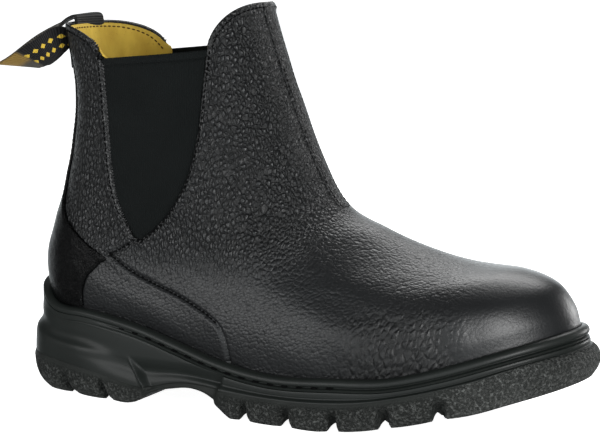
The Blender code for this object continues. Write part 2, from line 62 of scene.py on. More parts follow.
# The last, one row for each ring from the rim of the sole up to the collar: its back and front, half
# widths at four equal angles, heights at five equal angles and its share of the sideways bend.
RINGS = np.array((
    (0.0085, 0.2806, 0.0305, 0.0385, 0.0488, 0.0365, 0.0545, 0.0450, 0.0245, 0.0380, 0.0475, 1.00),
    (0.0070, 0.2776, 0.0317, 0.0400, 0.0502, 0.0372, 0.0605, 0.0510, 0.0325, 0.0462, 0.0570, 1.00),
    (0.0072, 0.2696, 0.0322, 0.0402, 0.0496, 0.0362, 0.0665, 0.0575, 0.0410, 0.0550, 0.0665, 1.00),
    (0.0085, 0.2545, 0.0320, 0.0390, 0.0470, 0.0325, 0.0725, 0.0640, 0.0500, 0.0620, 0.0722, 1.00),
    (0.0106, 0.2340, 0.0314, 0.0378, 0.0437, 0.0280, 0.0790, 0.0710, 0.0590, 0.0675, 0.0738, 0.90),
    (0.0131, 0.2113, 0.0305, 0.0368, 0.0409, 0.0248, 0.0860, 0.0790, 0.0680, 0.0735, 0.0787, 0.75),
    (0.0163, 0.1880, 0.0294, 0.0362, 0.0390, 0.0230, 0.0950, 0.0880, 0.0785, 0.0825, 0.0872, 0.55),
    (0.0197, 0.1674, 0.0284, 0.0358, 0.0380, 0.0226, 0.1070, 0.1010, 0.0930, 0.0945, 0.0970, 0.35),
    (0.0232, 0.1540, 0.0276, 0.0354, 0.0372, 0.0226, 0.1240, 0.1190, 0.1130, 0.1150, 0.1170, 0.18),
    (0.0255, 0.1385, 0.0268, 0.0350, 0.0366, 0.0226, 0.1500, 0.1450, 0.1420, 0.1470, 0.1540, 0.06),
    (0.0197, 0.1245, 0.0262, 0.0346, 0.0362, 0.0228, 0.1830, 0.1700, 0.1700, 0.1800, 0.1930, 0.00),
))
TOP = len(RINGS) - 1
COLLAR_START = TOP - 1

# The collar's edge seen from the side: a tab in front, a straight top on the gore and a tab behind.
GORE_TOP_BACK = (0.0515, 0.1670)
GORE_TOP_FRONT = (0.1074, 0.1725)
FRONT_TAB_HEIGHT = 0.0208
FRONT_TAB_LENGTH = 0.0171
BACK_TAB_HEIGHT = 0.0150
BACK_TAB_LENGTH = 0.0318
FRONT_TAB_SQUARENESS = 1.65
BACK_TAB_SQUARENESS = 2.0

# The rim's line against the lowest ring, as lifts at x: it dips beside the heel, rides high at the waist
# and low at the ball. The rings above it follow it less and less.
RIM_LINE = (
    (0.0085, 0.0000), (0.0130, -0.0028), (0.0180, -0.0060), (0.0240, -0.0074), (0.0300, -0.0066),
    (0.0400, -0.0038), (0.0570, -0.0004), (0.0760, 0.0019), (0.0980, 0.0019), (0.1210, 0.0004),
    (0.1500, -0.0006), (0.1830, -0.0006), (0.2100, -0.0028), (0.2300, -0.0026), (0.2600, -0.0010),
    (0.2806, 0.0000),
)
RIM_LINE_LEVELS = 3.0

# The gore's window seen from the side, from its foot up: height, back edge and front edge.
GORE = (
    (0.0805, 0.0710, 0.0752),
    (0.0845, 0.0683, 0.0810),
    (0.0910, 0.0642, 0.0880),
    (0.1000, 0.0599, 0.0950),
    (0.1120, 0.0571, 0.1010),
    (0.1280, 0.0551, 0.1052),
    (0.1480, 0.0533, 0.1070),
    (0.1720, 0.0515, 0.1074),
)

# Seams on each side: the lower quarter's front edge, and the short seam from the gore's foot back to it.
QUARTER_SEAM = (
    (0.0566, 0.0716), (0.0700, 0.0643), (0.0850, 0.0590), (0.0970, 0.0552), (0.1060, 0.0516),
    (0.1145, 0.0478), (0.1205, 0.0440), (0.1235, 0.0398), (0.1253, 0.0350), (0.1263, 0.0265),
)
SEWN_ROWS = 7
CORNER_SEAM = ((0.0566, 0.0716), (0.0640, 0.0752), (0.0735, 0.0808))

SINE_ORDERS = np.arange(1, 5)
COSINE_ORDERS = np.arange(0, 5)
SINE_FIT = np.linalg.inv(np.sin(np.outer(SINE_ORDERS, SINE_ORDERS) * math.pi / 5))
COSINE_FIT = np.linalg.inv(np.cos(np.outer(COSINE_ORDERS, COSINE_ORDERS) * math.pi / 4))


def soft(low, high, at):
    """0 below low, 1 above high, and a smooth ramp between them."""
    t = np.clip((at - low) / (high - low), 0.0, 1.0)
    return t * t * (3 - 2 * t)


def mound(centre, reach, at):
    """1 at the centre, falling smoothly to nothing about two reaches away."""
    return np.exp(-((at - centre) / reach) ** 2)


def read_table(rows, at):
    """The table's other columns at values of its first column, on a smooth curve through the rows."""
    table = np.array(rows)
    keys = table[:, 0]
    at = np.clip(np.atleast_1d(at), keys[0], keys[-1])
    k = np.clip(np.searchsorted(keys, at, side="right") - 1, 0, len(keys) - 2)
    step = (keys[k + 1] - keys[k])[:, None]
    t = (at - keys[k])[:, None] / step
    slopes = np.gradient(table[:, 1:], keys, axis=0)
    h00, h10 = (1 + 2 * t) * (1 - t) ** 2, t * (1 - t) ** 2
    h01, h11 = t * t * (3 - 2 * t), t * t * (t - 1)
    here, there = table[k, 1:], table[k + 1, 1:]
    return h00 * here + h10 * step * slopes[k] + h01 * there + h11 * step * slopes[k + 1]


def rings_at(level):
    """The last's ring at each level, on a smooth curve through the table's rings."""
    level = np.clip(level, 0.0, TOP)
    k = np.clip(level.astype(int), 0, TOP - 1)
    t = (level - k)[:, None]
    rows = np.vstack((2 * RINGS[0] - RINGS[1], RINGS, 2 * RINGS[-1] - RINGS[-2]))
    before, here, there, after = (rows[k + n] for n in range(4))
    return 0.5 * (
        2 * here
        + (there - before) * t
        + (2 * before - 5 * here + 4 * there - after) * t ** 2
        + (3 * here - before - 3 * there + after) * t ** 3
    )


def tab_rise(share, squareness):
    """Share of a tab's height at a share of its length, on a rounded corner."""
    return (1 - (1 - np.clip(share, 0.0, 1.0)) ** squareness) ** (1 / squareness)


def collar_height(x):
    """Height of the collar's edge at x."""
    (back_x, back_z), (front_x, front_z) = GORE_TOP_BACK, GORE_TOP_FRONT
    ahead = FRONT_TAB_HEIGHT * tab_rise((x - front_x) / FRONT_TAB_LENGTH, FRONT_TAB_SQUARENESS)
    behind = BACK_TAB_HEIGHT * tab_rise((back_x - x) / BACK_TAB_LENGTH, BACK_TAB_SQUARENESS)
    along = np.clip((x - back_x) / (front_x - back_x), 0.0, 1.0)
    return back_z + (front_z - back_z) * along + ahead + behind


def rim_lift(x, level):
    """Lift of the last's surface that the rim's line brings at x and a level."""
    return read_table(RIM_LINE, x)[:, 0] * (1 - soft(0.0, RIM_LINE_LEVELS, level))


def swing(x):
    """Sideways bend of the last at x: out at the waist, in at the toe."""
    share = np.clip(x / SOLE_LENGTH, 0.0, 1.0)
    return TOE_INFLARE * share ** 5 - WAIST_OUTFLARE * np.sin(math.pi * share) ** 2


def plan(rings, angle):
    """The rings' points at the angles, seen from above. Angles run from the back round the outer side."""
    turn = np.arccos(np.cos(angle))
    side = np.where(np.sin(angle) >= 0, -1.0, 1.0)
    x = rings[:, 0] + (rings[:, 1] - rings[:, 0]) * (1 - np.cos(turn)) / 2
    half = np.sum(np.sin(np.outer(turn, SINE_ORDERS)) * (rings[:, 2:6] @ SINE_FIT.T), axis=1)
    return x, side * half + rings[:, 11] * swing(x)


def ring_heights(rings, angle):
    """The rings' heights at the angles."""
    return np.sum(np.cos(np.outer(angle, COSINE_ORDERS)) * (rings[:, 6:11] @ COSINE_FIT.T), axis=1)


def leather(angle, level):
    """Points of the upper's outer face. Below level 0 the wall goes straight down into the sole."""
    rings = rings_at(level)
    x, y = plan(rings, angle)
    z = ring_heights(rings, angle) + rim_lift(x, level) + SEAT_DEPTH * np.minimum(level, 0.0)
    share = np.clip(level - COLLAR_START, 0.0, 1.0)
    low = ring_heights(RINGS[None, COLLAR_START], angle)
    edge = collar_height(plan(RINGS[None, TOP], angle)[0])
    z = np.where(share > 0, low + (edge - low) * share, z)
    return np.stack((x - HEEL_CENTRE, y, z), axis=1)


def unit(vectors):
    """The vectors at length 1."""
    return vectors / np.maximum(np.linalg.norm(vectors, axis=1, keepdims=True), 1e-12)


def leather_out(angle, level):
    """The upper's outward directions."""
    step = ANGLE_STEP
    along = leather(angle + step, level) - leather(angle - step, level)
    rise = leather(angle, np.minimum(level + step, TOP)) - leather(angle, np.maximum(level - step, -1.0))
    return unit(np.cross(along, rise))


def side_place(x, height, side):
    """Angles and levels of the upper's points that show at x and height from that side."""
    level = np.full(len(x), 5.0)
    for _ in range(PLACE_ROUNDS):
        rings = rings_at(level)
        cosine = 1 - 2 * (x - rings[:, 0]) / (rings[:, 1] - rings[:, 0])
        angle = np.arccos(np.clip(cosine, -1.0, 1.0))
        low, high = np.zeros(len(x)), np.full(len(x), float(TOP))
        for _ in range(HALVINGS):
            level = (low + high) / 2
            below = leather(angle, level)[:, 2] < height
            low, high = np.where(below, level, low), np.where(below, high, level)
    return (angle if side < 0 else 2 * math.pi - angle), level


class Line:
    """A line over the upper, with its outward and sideways directions and a search for the nearest point."""

    def __init__(self, angle, level):
        self.points = leather(angle, level)
        self.out = leather_out(angle, level)
        self.across = unit(np.cross(self.out, np.gradient(self.points, axis=0)))
        self.tree = KDTree(len(self.points))
        for number, point in enumerate(self.points):
            self.tree.insert(point, number)
        self.tree.balance()

    def distances(self, points):
        """How far each point lies from the line, and how far to its side."""
        found = [self.tree.find(point) for point in points]
        nearest = np.array([number for _, number, _ in found])
        aside = np.sum((points - self.points[nearest]) * self.across[nearest], axis=1)
        return np.array([distance for _, _, distance in found]), aside

    def shifted(self, aside, lift):
        """The line's points moved sideways over the leather and lifted off it."""
        return self.points + self.across * aside + self.out * lift


def seam_line(rows, side, count=240):
    """A seam given by x and height on one side of the boot."""
    numbered = [(number, *row) for number, row in enumerate(rows)]
    x, height = read_table(numbered, np.linspace(0.0, len(rows) - 1, count)).T
    return Line(*side_place(x, height, side))


# The window's edges as angles at each level, and the level of its foot.
window_height = np.linspace(GORE[0][0], GORE[-1][0], 90)
window_back, window_front = read_table(GORE, window_height).T
back_angle, back_level = side_place(window_back, window_height, -1)
front_angle, front_level = side_place(window_front, window_height, -1)
WINDOW_FOOT = (back_level[0] + front_level[0]) / 2
BELOW_WINDOW = (math.radians(69), math.radians(99))
WINDOW_SHARES = (0.36, 0.60)


def window_edges(level):
    """Angles of the window's back and front edge, which spread out again below its foot."""
    above = soft(WINDOW_FOOT - 3.0, WINDOW_FOOT, level)
    back = np.interp(level, back_level, back_angle)
    front = np.interp(level, front_level, front_angle)
    return (
        BELOW_WINDOW[0] + (back - BELOW_WINDOW[0]) * above,
        BELOW_WINDOW[1] + (front - BELOW_WINDOW[1]) * above,
    )


def half_share(across):
    """Share of the way from the back to the front, on either side."""
    return 1 - np.abs(1 - 2 * across)


def skin_angle(across, level):
    """Angle of a skin's column, bent so that two columns of each side run up the window's edges."""
    back, front = window_edges(level)
    low, high = WINDOW_SHARES
    share = half_share(across)
    turn = np.where(
        share < low,
        back * share / low,
        np.where(
            share < high,
            back + (front - back) * (share - low) / (high - low),
            front + (math.pi - front) * (share - high) / (1 - high),
        ),
    )
    return np.where(across <= 0.5, turn, 2 * math.pi - turn)


def window_line(side):
    """The window's edge, down its back, round its foot and up its front."""
    level = np.linspace(TOP, WINDOW_FOOT, 200)
    foot = np.linspace(0, 1, 14)[1:-1]
    back, front = window_edges(level)
    round_foot = back[-1] + (front[-1] - back[-1]) * foot
    angle = np.concatenate((back, round_foot, front[::-1]))
    levels = np.concatenate((level, np.full(len(foot), WINDOW_FOOT), level[::-1]))
    return Line(angle if side < 0 else 2 * math.pi - angle, levels)


def collar_line(start, end, count=120):
    """The collar's edge between two angles."""
    return Line(np.linspace(start, end, count), np.full(count, float(TOP)))


SIDES = {"outer": -1, "inner": 1}
windows = {name: window_line(side) for name, side in SIDES.items()}
quarters = {name: seam_line(QUARTER_SEAM, side) for name, side in SIDES.items()}
corners = {name: seam_line(CORNER_SEAM, side, 60) for name, side in SIDES.items()}
top_back, top_front = (float(edge[0]) for edge in window_edges(np.array([float(TOP)])))
collars = (
    collar_line(-top_back, top_back),
    collar_line(top_front, 2 * math.pi - top_front),
)

FOLD_BAND = (0.0034, 0.0046)
FOLD_HEIGHT = 0.0008
EDGE_ROUND = 0.0011
EDGE_DROP = 1.3 * FOLD_HEIGHT
SEAM_DEPTH = 0.0009
SEAM_WIDTH = 0.0011
PANEL_STEP = 0.0007
PANEL_EDGE = 0.0006
PANEL_FADE = 0.010
PANEL_END = (0.014, 0.020)
SWELL_HEIGHT = 0.00012
LEATHER_WALL = 0.0016


def edge_relief(distance):
    """A folded edge: a flat doubled band that rounds off at its edge."""
    rounding = np.clip(1 - distance / EDGE_ROUND, 0.0, 1.0) ** 2
    return FOLD_HEIGHT * (1 - soft(*FOLD_BAND, distance)) - EDGE_DROP * rounding


def seam_relief(distance, aside):
    """A sewn seam: a narrow trough with one panel standing over the other."""
    step = soft(-PANEL_EDGE, PANEL_EDGE, aside) * np.exp(-np.maximum(aside, 0.0) / PANEL_FADE)
    near = 1 - soft(*PANEL_END, distance)
    return PANEL_STEP * step * near - SEAM_DEPTH * mound(0.0, SEAM_WIDTH, distance)


# Soft creases where the leather bends in wear and over the last: middle x and height, the way they run
# in degrees from level, half length, half width and depth (a ridge is below zero).
CREASES = (
    (0.1360, 0.0960, -62.0, 0.020, 0.0055, 0.0011),
    (0.1250, 0.1000, -66.0, 0.022, 0.0050, -0.0008),
    (0.1080, 0.0760, -28.0, 0.030, 0.0080, 0.0009),
    (0.1500, 0.0770, -30.0, 0.026, 0.0060, 0.0006),
    (0.1960, 0.0560, -14.0, 0.030, 0.0075, 0.0014),
    (0.2290, 0.0480, 104.0, 0.015, 0.0042, 0.0008),
    (0.2390, 0.0500, 104.0, 0.017, 0.0045, -0.0006),
    (0.0480, 0.1180, 84.0, 0.026, 0.0050, 0.0007),
    (0.0420, 0.0940, 70.0, 0.018, 0.0050, -0.0005),
)


def crease_relief(points):
    """The soft creases, the same on both sides."""
    x, z = points[:, 0] + HEEL_CENTRE, points[:, 2]
    total = np.zeros(len(points))
    for middle_x, middle_z, slant, length, width, depth in CREASES:
        turn = math.radians(slant)
        along = (x - middle_x) * math.cos(turn) + (z - middle_z) * math.sin(turn)
        off = (z - middle_z) * math.cos(turn) - (x - middle_x) * math.sin(turn)
        total -= depth * mound(0.0, width, off) * mound(0.0, length, along)
    return total


def hide_relief(points):
    """The uneven lie of a whole hide: long shallow swells."""
    x, y, z = points.T
    swell = np.sin(190 * x + 60 * z) * np.sin(150 * z - 90 * y) + 0.6 * np.sin(310 * z + 120 * x + 2)
    return SWELL_HEIGHT * swell


def edge_distance(points):
    """How far each point lies from the nearest folded edge, round the gores or along the collar."""
    return np.min([line.distances(points)[0] for line in (*windows.values(), *collars)], axis=0)


def lie_relief(points):
    """The lie of the leather: its creases, its swells and its folded edges."""
    return crease_relief(points) + hide_relief(points) + edge_relief(edge_distance(points))


def upper_relief(points):
    """How far the finished leather stands off the last's surface."""
    total = lie_relief(points)
    for name, side in SIDES.items():
        distance, aside = quarters[name].distances(points)
        total += seam_relief(distance, aside * side)
        distance, aside = corners[name].distances(points)
        total += seam_relief(distance, -aside * side)
    return total


# Where each finish of the leather starts and is whole, along the boot, up it or from a folded edge.
SHAFT_RISE = (0.058, 0.086)
SHAFT_FRONT = (0.135, 0.185)
TOE_SMOOTH = (0.222, 0.250)
WRINKLES_BACK = (0.166, 0.216)
WRINKLES_FRONT = (0.226, 0.246)
WRINKLES_TOP = (0.042, 0.066)
FOLD_SMOOTH = (0.0012, 0.0028)
VAMP_COARSENESS = 0.06


def upper_zones(points):
    """Finish of the leather at each point: coarse grain, pressed smooth, drawn into wrinkles, folded."""
    x, z = points[:, 0] + HEEL_CENTRE, points[:, 2]
    shaft = soft(*SHAFT_RISE, z) * (1 - soft(*SHAFT_FRONT, x))
    smooth = soft(*TOE_SMOOTH, x)
    coarse = (VAMP_COARSENESS + (1 - VAMP_COARSENESS) * shaft) * (1 - smooth)
    wrinkled = soft(*WRINKLES_BACK, x) * (1 - soft(*WRINKLES_FRONT, x)) * (1 - soft(*WRINKLES_TOP, z))
    folded = 1 - soft(*FOLD_SMOOTH, edge_distance(points))
    return np.stack((coarse * (1 - 0.6 * folded), smooth, wrinkled, folded), axis=1)


SHARP_ANGLE = math.radians(55)


def put(name, mesh, finish, slot, *nodes):
    """Makes a named piece of the mesh that rides on the boot and stands for the CAD nodes."""
    data = bpy.data.meshes.new(name)
    mesh.to_mesh(data)
    mesh.free()
    data.shade_smooth()
    data.set_sharp_from_angle(angle=SHARP_ANGLE)
    data.materials.append(finish)
    made = bpy.data.objects.new(name, data)
    bpy.context.scene.collection.objects.link(made)
    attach(made, "root")
    if nodes:
        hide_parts(*nodes)
    return made


def thicken(made, thickness, offset=-1.0):
    """Gives an open skin its wall."""
    wall = made.modifiers.new("wall", "SOLIDIFY")
    wall.thickness = thickness
    wall.offset = offset
    return made


class Shade:
    """A socket of a material: sums on it add Math nodes, and node() adds any other node."""

    def __init__(self, socket):
        self.socket = socket
        self.tree = socket.id_data

    def node(self, kind, settings, inputs, output=0):
        """Adds a node: its settings first, then the values or links of its sockets."""
        made = self.tree.nodes.new(kind)
        for name, value in settings.items():
            setattr(made, name, value)
        for name, value in inputs.items():
            if isinstance(value, Shade):
                self.tree.links.new(value.socket, made.inputs[name])
            else:
                made.inputs[name].default_value = value
        return Shade(made.outputs[output])

    def math(self, operation, first, second=0.0):
        return self.node("ShaderNodeMath", {"operation": operation}, {0: first, 1: second})

    def __add__(self, other):
        return self.math("ADD", self, other)

    def __mul__(self, other):
        return self.math("MULTIPLY", self, other)

    def __sub__(self, other):
        return self.math("SUBTRACT", self, other)

    def __rsub__(self, other):
        return self.math("SUBTRACT", other, self)

    __radd__ = __add__
    __rmul__ = __mul__

    def size(self):
        """The value without its sign."""
        return self.math("ABSOLUTE", self)

    def wave(self, pitch):
        """A sine that repeats after each pitch."""
        return self.math("SINE", self * (2 * math.pi / pitch))

    def between(self, low, high):
        """0 where the value is below low, 1 above high, smooth between."""
        return self.node(
            "ShaderNodeMapRange", {"interpolation_type": "SMOOTHSTEP"},
            {"Value": self, "From Min": low, "From Max": high},
        )

    def mix(self, first, second):
        """A colour between two, by this value."""
        low, high = (end if isinstance(end, Shade) else (*end, 1.0) for end in (first, second))
        return self.node("ShaderNodeMix", {"data_type": "RGBA"}, {0: self, 6: low, 7: high}, 2)

    def scaled(self, *scale):
        """These coordinates, scaled."""
        return self.node("ShaderNodeMapping", {}, {"Vector": self, "Scale": scale})

    def turned(self, angle):
        """These coordinates, turned about the boot's width."""
        return self.node("ShaderNodeMapping", {}, {"Vector": self, "Rotation": (0.0, angle, 0.0)})

    def part(self, number):
        """One of the coordinates, or one channel of a colour."""
        return self.node("ShaderNodeSeparateXYZ", {}, {0: self}, number)

    def noise(self, scale, detail=2.0, roughness=0.5):
        return self.node(
            "ShaderNodeTexNoise", {},
            {"Vector": self, "Scale": scale, "Detail": detail, "Roughness": roughness},
        )

    def cells(self, scale, feature="DISTANCE_TO_EDGE"):
        return self.node("ShaderNodeTexVoronoi", {"feature": feature}, {"Vector": self, "Scale": scale})

    def domes(self, scale):
        """Rounded pebbles with creases between them."""
        distance = self.cells(scale, "F1")
        return 1 - distance * distance * 1.5

    def warped(self, scale, amount):
        """These coordinates pushed about by a noise."""
        push = self.node("ShaderNodeTexNoise", {}, {"Vector": self, "Scale": scale, "Detail": 1.0}, 1)
        centred = self.node("ShaderNodeVectorMath", {"operation": "SUBTRACT"}, {0: push, 1: (0.5, 0.5, 0.5)})
        small = self.node("ShaderNodeVectorMath", {"operation": "SCALE"}, {0: centred, "Scale": amount})
        return self.node("ShaderNodeVectorMath", {"operation": "ADD"}, {0: self, 1: small})


class Finish:
    """A procedural material on a Principled shader."""

    def __init__(self, name, **constants):
        self.material = bpy.data.materials.new(name)
        self.material.use_nodes = True
        self.tree = self.material.node_tree
        self.shader = self.tree.nodes["Principled BSDF"]
        for socket, value in constants.items():
            self.shader.inputs[socket.replace("_", " ")].default_value = value
        self.place = Shade(self.tree.nodes.new("ShaderNodeTexCoord").outputs["Object"])
        self.flat = Shade(self.tree.nodes.new("ShaderNodeUVMap").outputs["UV"])

    def feed(self, socket, shade):
        self.tree.links.new(shade.socket, self.shader.inputs[socket])

    def bump(self, height, distance, strength=1.0):
        """Feeds a height to the surface's direction."""
        inputs = {"Height": height, "Distance": distance, "Strength": strength}
        self.feed("Normal", height.node("ShaderNodeBump", {}, inputs))


hide = Finish("pebbled_hide", Specular_IOR_Level=0.46)
zones = hide.place.node("ShaderNodeAttribute", {"attribute_name": "zones"}, {})
hide_coarse, hide_smooth, hide_wrinkled = (zones.part(number) for number in range(3))
hide_folded = Shade(zones.socket.node.outputs["Alpha"])
hide_warp = hide.place.warped(240.0, 0.0013)
hide_long = hide_warp.turned(-0.12).scaled(1.0, 1.0, 0.56)
hide_drawn = hide_warp.turned(0.35).scaled(0.7, 1.0, 1.0)
hide_pulled = hide_warp.turned(-0.30).scaled(1.0, 1.0, 0.45)
coarse_tops = hide_long.cells(590.0).between(0.0, 0.32)
drawn_tops = hide_drawn.cells(760.0).between(0.0, 0.26) * 0.5 + 0.5
pulled_tops = hide_pulled.cells(440.0).between(0.02, 0.42)
pores = hide.place.noise(1900.0, 3.0)
coarse_height = hide_long.domes(590.0) * 0.50 + coarse_tops * 0.50 + hide_warp.domes(1300.0) * 0.10
drawn_height = hide_drawn.domes(760.0) * 0.19
plain = (1 - hide_coarse) * (1 - hide_smooth * 0.8)
hide_height = hide_coarse * coarse_height + plain * drawn_height
pulled_height = hide_pulled.domes(440.0) * 0.45 + pulled_tops * 0.45
hide_height = hide_height * (1 - hide_wrinkled * 0.6) + hide_wrinkled * pulled_height + pores * 0.05
hide.bump(hide_height, 0.00085)
blotches = hide.place.noise(28.0, 3.0)
# These tops are dark in the creases between pebbles and between wrinkles, and darker along folded edges. The
# base colour uses them as painted crease shade, together with a painted shade over the whole wrinkled zone;
# its dark end is that painted shade, on top of the random blotches.
crease_shade_tops = hide_coarse * coarse_tops + plain * drawn_tops + hide_smooth * 0.7
crease_shade_tops = crease_shade_tops * (1 - hide_wrinkled * (1 - pulled_tops)) * (1 - hide_folded * 0.7)
hide_tone_and_crease_shade = (blotches * 0.3 + crease_shade_tops * 0.8).between(0.10, 1.05) * (1 - hide_wrinkled * 0.4)
hide.feed("Base Color", hide_tone_and_crease_shade.mix((0.0006, 0.0006, 0.0007), (0.0076, 0.0081, 0.0088)))
hide_gloss = crease_shade_tops * 0.20 + hide_smooth * 0.02 + hide_folded * 0.18
hide.feed("Roughness", 0.54 - hide_gloss + blotches * 0.06)

WELD = 0.000001
SLACK = 0.0005
SKIN_COLUMNS = 260
FOOT_ROWS = 44
SHAFT_ROWS = 66
REFINED_REACHES = (0.0060, 0.0032)
skin_levels = np.concatenate((
    (-1.0, -0.5),
    np.linspace(0.0, WINDOW_FOOT, FOOT_ROWS),
    np.linspace(WINDOW_FOOT, TOP, SHAFT_ROWS)[1:],
))


def grid(columns, rows):
    """A flat grid, and the shares of its width and height at its corners."""
    mesh = bmesh.new()
    bmesh.ops.create_grid(mesh, x_segments=columns, y_segments=rows, size=0.5)
    across, up = np.array([vert.co[:2] for vert in mesh.verts]).T + 0.5
    return mesh, across, up


def skin(columns, levels):
    """An unwelded skin over the last, open at the windows, with column shares and levels on its corners."""
    mesh, across, up = grid(columns, len(levels) - 1)
    across_layer = mesh.verts.layers.float.new("across")
    level_layer = mesh.verts.layers.float.new("level")
    for vert, share, height in zip(mesh.verts, across, up):
        vert[across_layer] = share
        vert[level_layer] = levels[round(height * (len(levels) - 1))]
    low, high = WINDOW_SHARES[0] - SLACK, WINDOW_SHARES[1] + SLACK
    open_faces = [
        face for face in mesh.faces
        if all(
            low < half_share(vert[across_layer]) < high and vert[level_layer] > WINDOW_FOOT - SLACK
            for vert in face.verts
        )
    ]
    bmesh.ops.delete(mesh, geom=open_faces, context="FACES")
    return mesh


def skin_places(mesh):
    """Angles and levels of a skin's corners."""
    across_layer = mesh.verts.layers.float["across"]
    level_layer = mesh.verts.layers.float["level"]
    across = np.array([vert[across_layer] for vert in mesh.verts])
    level = np.array([vert[level_layer] for vert in mesh.verts])
    return skin_angle(across, level), level


def move(mesh, points):
    """Puts the mesh's corners at the points."""
    for vert, point in zip(mesh.verts, points):
        vert.co = point


def refine(mesh, lines, reach):
    """Splits the edges of a skin that lie near the lines."""
    points = leather(*skin_places(mesh))
    near = np.full(len(points), False)
    for line in lines:
        near |= line.distances(points)[0] < reach
    mesh.verts.index_update()
    edges = [edge for edge in mesh.edges if all(near[vert.index] for vert in edge.verts)]
    bmesh.ops.subdivide_edges(mesh, edges=edges, cuts=1, use_grid_fill=True)


def paint(made, name, values):
    """Stores a value for each corner of a piece, for its material."""
    layer = made.data.attributes.new(name, "FLOAT_COLOR", "POINT")
    layer.data.foreach_set("color", np.asarray(values, dtype=np.float32).ravel())


seams = [*windows.values(), *quarters.values(), *corners.values(), *collars]
upper_mesh = skin(SKIN_COLUMNS, skin_levels)
for reach in REFINED_REACHES:
    refine(upper_mesh, seams, reach)
upper_angle, upper_level = skin_places(upper_mesh)
last_points = leather(upper_angle, upper_level)
upper_points = last_points + leather_out(upper_angle, upper_level) * upper_relief(last_points)[:, None]
move(upper_mesh, upper_points)
bmesh.ops.remove_doubles(upper_mesh, verts=upper_mesh.verts, dist=WELD)
upper = put("upper_leather", upper_mesh, hide.material, "pebbled_leather", "upper")
corner_points = np.array([vert.co for vert in upper.data.vertices])
paint(upper, "zones", upper_zones(corner_points))
thicken(upper, LEATHER_WALL)

# Lining
# A thin ochre pigskin lining is stuck to the inside of the leather and sewn along the collar, with the
# same windows as the leather so that the elastic shows inside too.

LINING_WALL = 0.0007
LINING_DEPTH = LEATHER_WALL + 0.00005
LINING_TOP = TOP - 0.055
LINING_COLUMNS = 156
LINING_LEVELS = np.concatenate((
    np.linspace(-0.8, WINDOW_FOOT, 22),
    np.linspace(WINDOW_FOOT, LINING_TOP, 40)[1:],
))

pigskin = Finish("ochre_pigskin", Specular_IOR_Level=0.1, Sheen_Weight=0.05, Sheen_Roughness=0.5)
pig_warp = pigskin.place.warped(120.0, 0.003)
pig_pores = pig_warp.cells(620.0, "F1").between(0.08, 0.30)
pig_folds = pig_warp.scaled(1.0, 1.0, 0.3).noise(150.0, 3.0)
pig_tone = (pigskin.place.noise(36.0, 4.0) * 0.6 + pig_folds * 0.5).between(0.3, 0.8)
# Thin dark lines along the lining's crinkles: painted shade in its creases, mixed into the base colour.
pig_line = pig_warp.scaled(1.0, 1.0, 0.22).noise(75.0, 1.0) - 0.5
pig_crinkle_shade = 1 - pig_line.size().between(0.004, 0.020)
pig_crinkle_shade = pig_crinkle_shade * pigskin.place.noise(50.0, 2.0).between(0.5, 0.6)
pig_colour = pig_tone.mix((0.45, 0.295, 0.045), (0.68, 0.48, 0.082))
pigskin.feed("Base Color", (pig_crinkle_shade * 0.6).mix(pig_colour, (0.22, 0.12, 0.018)))
pigskin.feed("Roughness", 0.72 + pig_pores * 0.15)
pigskin.bump(pig_pores * 0.3 + pig_folds, 0.0010, 0.8)

lining_mesh = skin(LINING_COLUMNS, LINING_LEVELS)
lining_angle, lining_level = skin_places(lining_mesh)
lining_points = leather(lining_angle, lining_level)
lining_out = leather_out(lining_angle, lining_level)
move(lining_mesh, lining_points - lining_out * LINING_DEPTH)
bmesh.ops.remove_doubles(lining_mesh, verts=lining_mesh.verts, dist=WELD)
lining = put("lining", lining_mesh, pigskin.material, "lining")
thicken(lining, LINING_WALL)

# Gores
# Two panels of black ribbed elastic are sewn behind the windows' folded edges. Their tops are turned
# over in a narrow hem level with the collar.

GORE_RECESS = 0.0006
GORE_TUCK = 0.0004
SHAFT_RADIUS = 0.036
GORE_THICKNESS = 0.0012
GORE_GRID = (48, 160)
GORE_TOPS = {"outer": TOP - 0.04, "inner": TOP}
HEM_HEIGHT = 0.0032
HEM_SWELL = 0.0006
HEM_EDGE = 0.0006
RIB_PITCH = 0.0011
RIB_LEAN = 0.05
PICK_PITCH = 0.0008

elastic = Finish("ribbed_elastic", Specular_IOR_Level=0.06, Sheen_Weight=0.02, Sheen_Roughness=0.45)
elastic_height = elastic.place.part(2)
ribs = (elastic.place.part(0) + elastic_height * RIB_LEAN).wave(RIB_PITCH)
picks = elastic_height.wave(PICK_PITCH)
elastic_cloud = elastic.place.noise(40.0, 3.0)
elastic.feed("Base Color", elastic_cloud.mix((0.0030, 0.0038, 0.0038), (0.0055, 0.0066, 0.0066)))
elastic.feed("Roughness", 0.78 + ribs * 0.06)
elastic.bump(ribs + picks * 0.3, 0.00018, 0.7)


def gore_piece(name, side, top):
    """An elastic panel between the window's edges, hemmed along its top."""
    mesh, across, up = grid(*GORE_GRID)
    level = WINDOW_FOOT + (top - WINDOW_FOOT) * up
    back, front = window_edges(level)
    reach = GORE_TUCK / SHAFT_RADIUS
    angle = back - reach + (front - back + 2 * reach) * across
    angle = angle if side < 0 else 2 * math.pi - angle
    points = leather(angle, level)
    below_top = leather(angle, np.full(len(angle), float(top)))[:, 2] - points[:, 2]
    lift = HEM_SWELL * (1 - soft(HEM_HEIGHT - HEM_EDGE, HEM_HEIGHT, below_top)) - GORE_RECESS
    lift = lift - HEM_SWELL * mound(HEM_HEIGHT + HEM_EDGE / 3, HEM_EDGE, below_top)
    move(mesh, points + leather_out(angle, level) * lift[:, None])
    if side > 0:
        bmesh.ops.reverse_faces(mesh, faces=mesh.faces)
    return thicken(put(name + "_elastic", mesh, elastic.material, "elastic", name), GORE_THICKNESS)


for side_name, side in SIDES.items():
    gore_piece("gore_" + side_name, side, GORE_TOPS[side_name])

# Heel counter
# A smooth leather counter wraps the heel over its stiffener and narrows to a strip that covers the back
# seam up to the collar. Its edges are skived thin and sewn down.

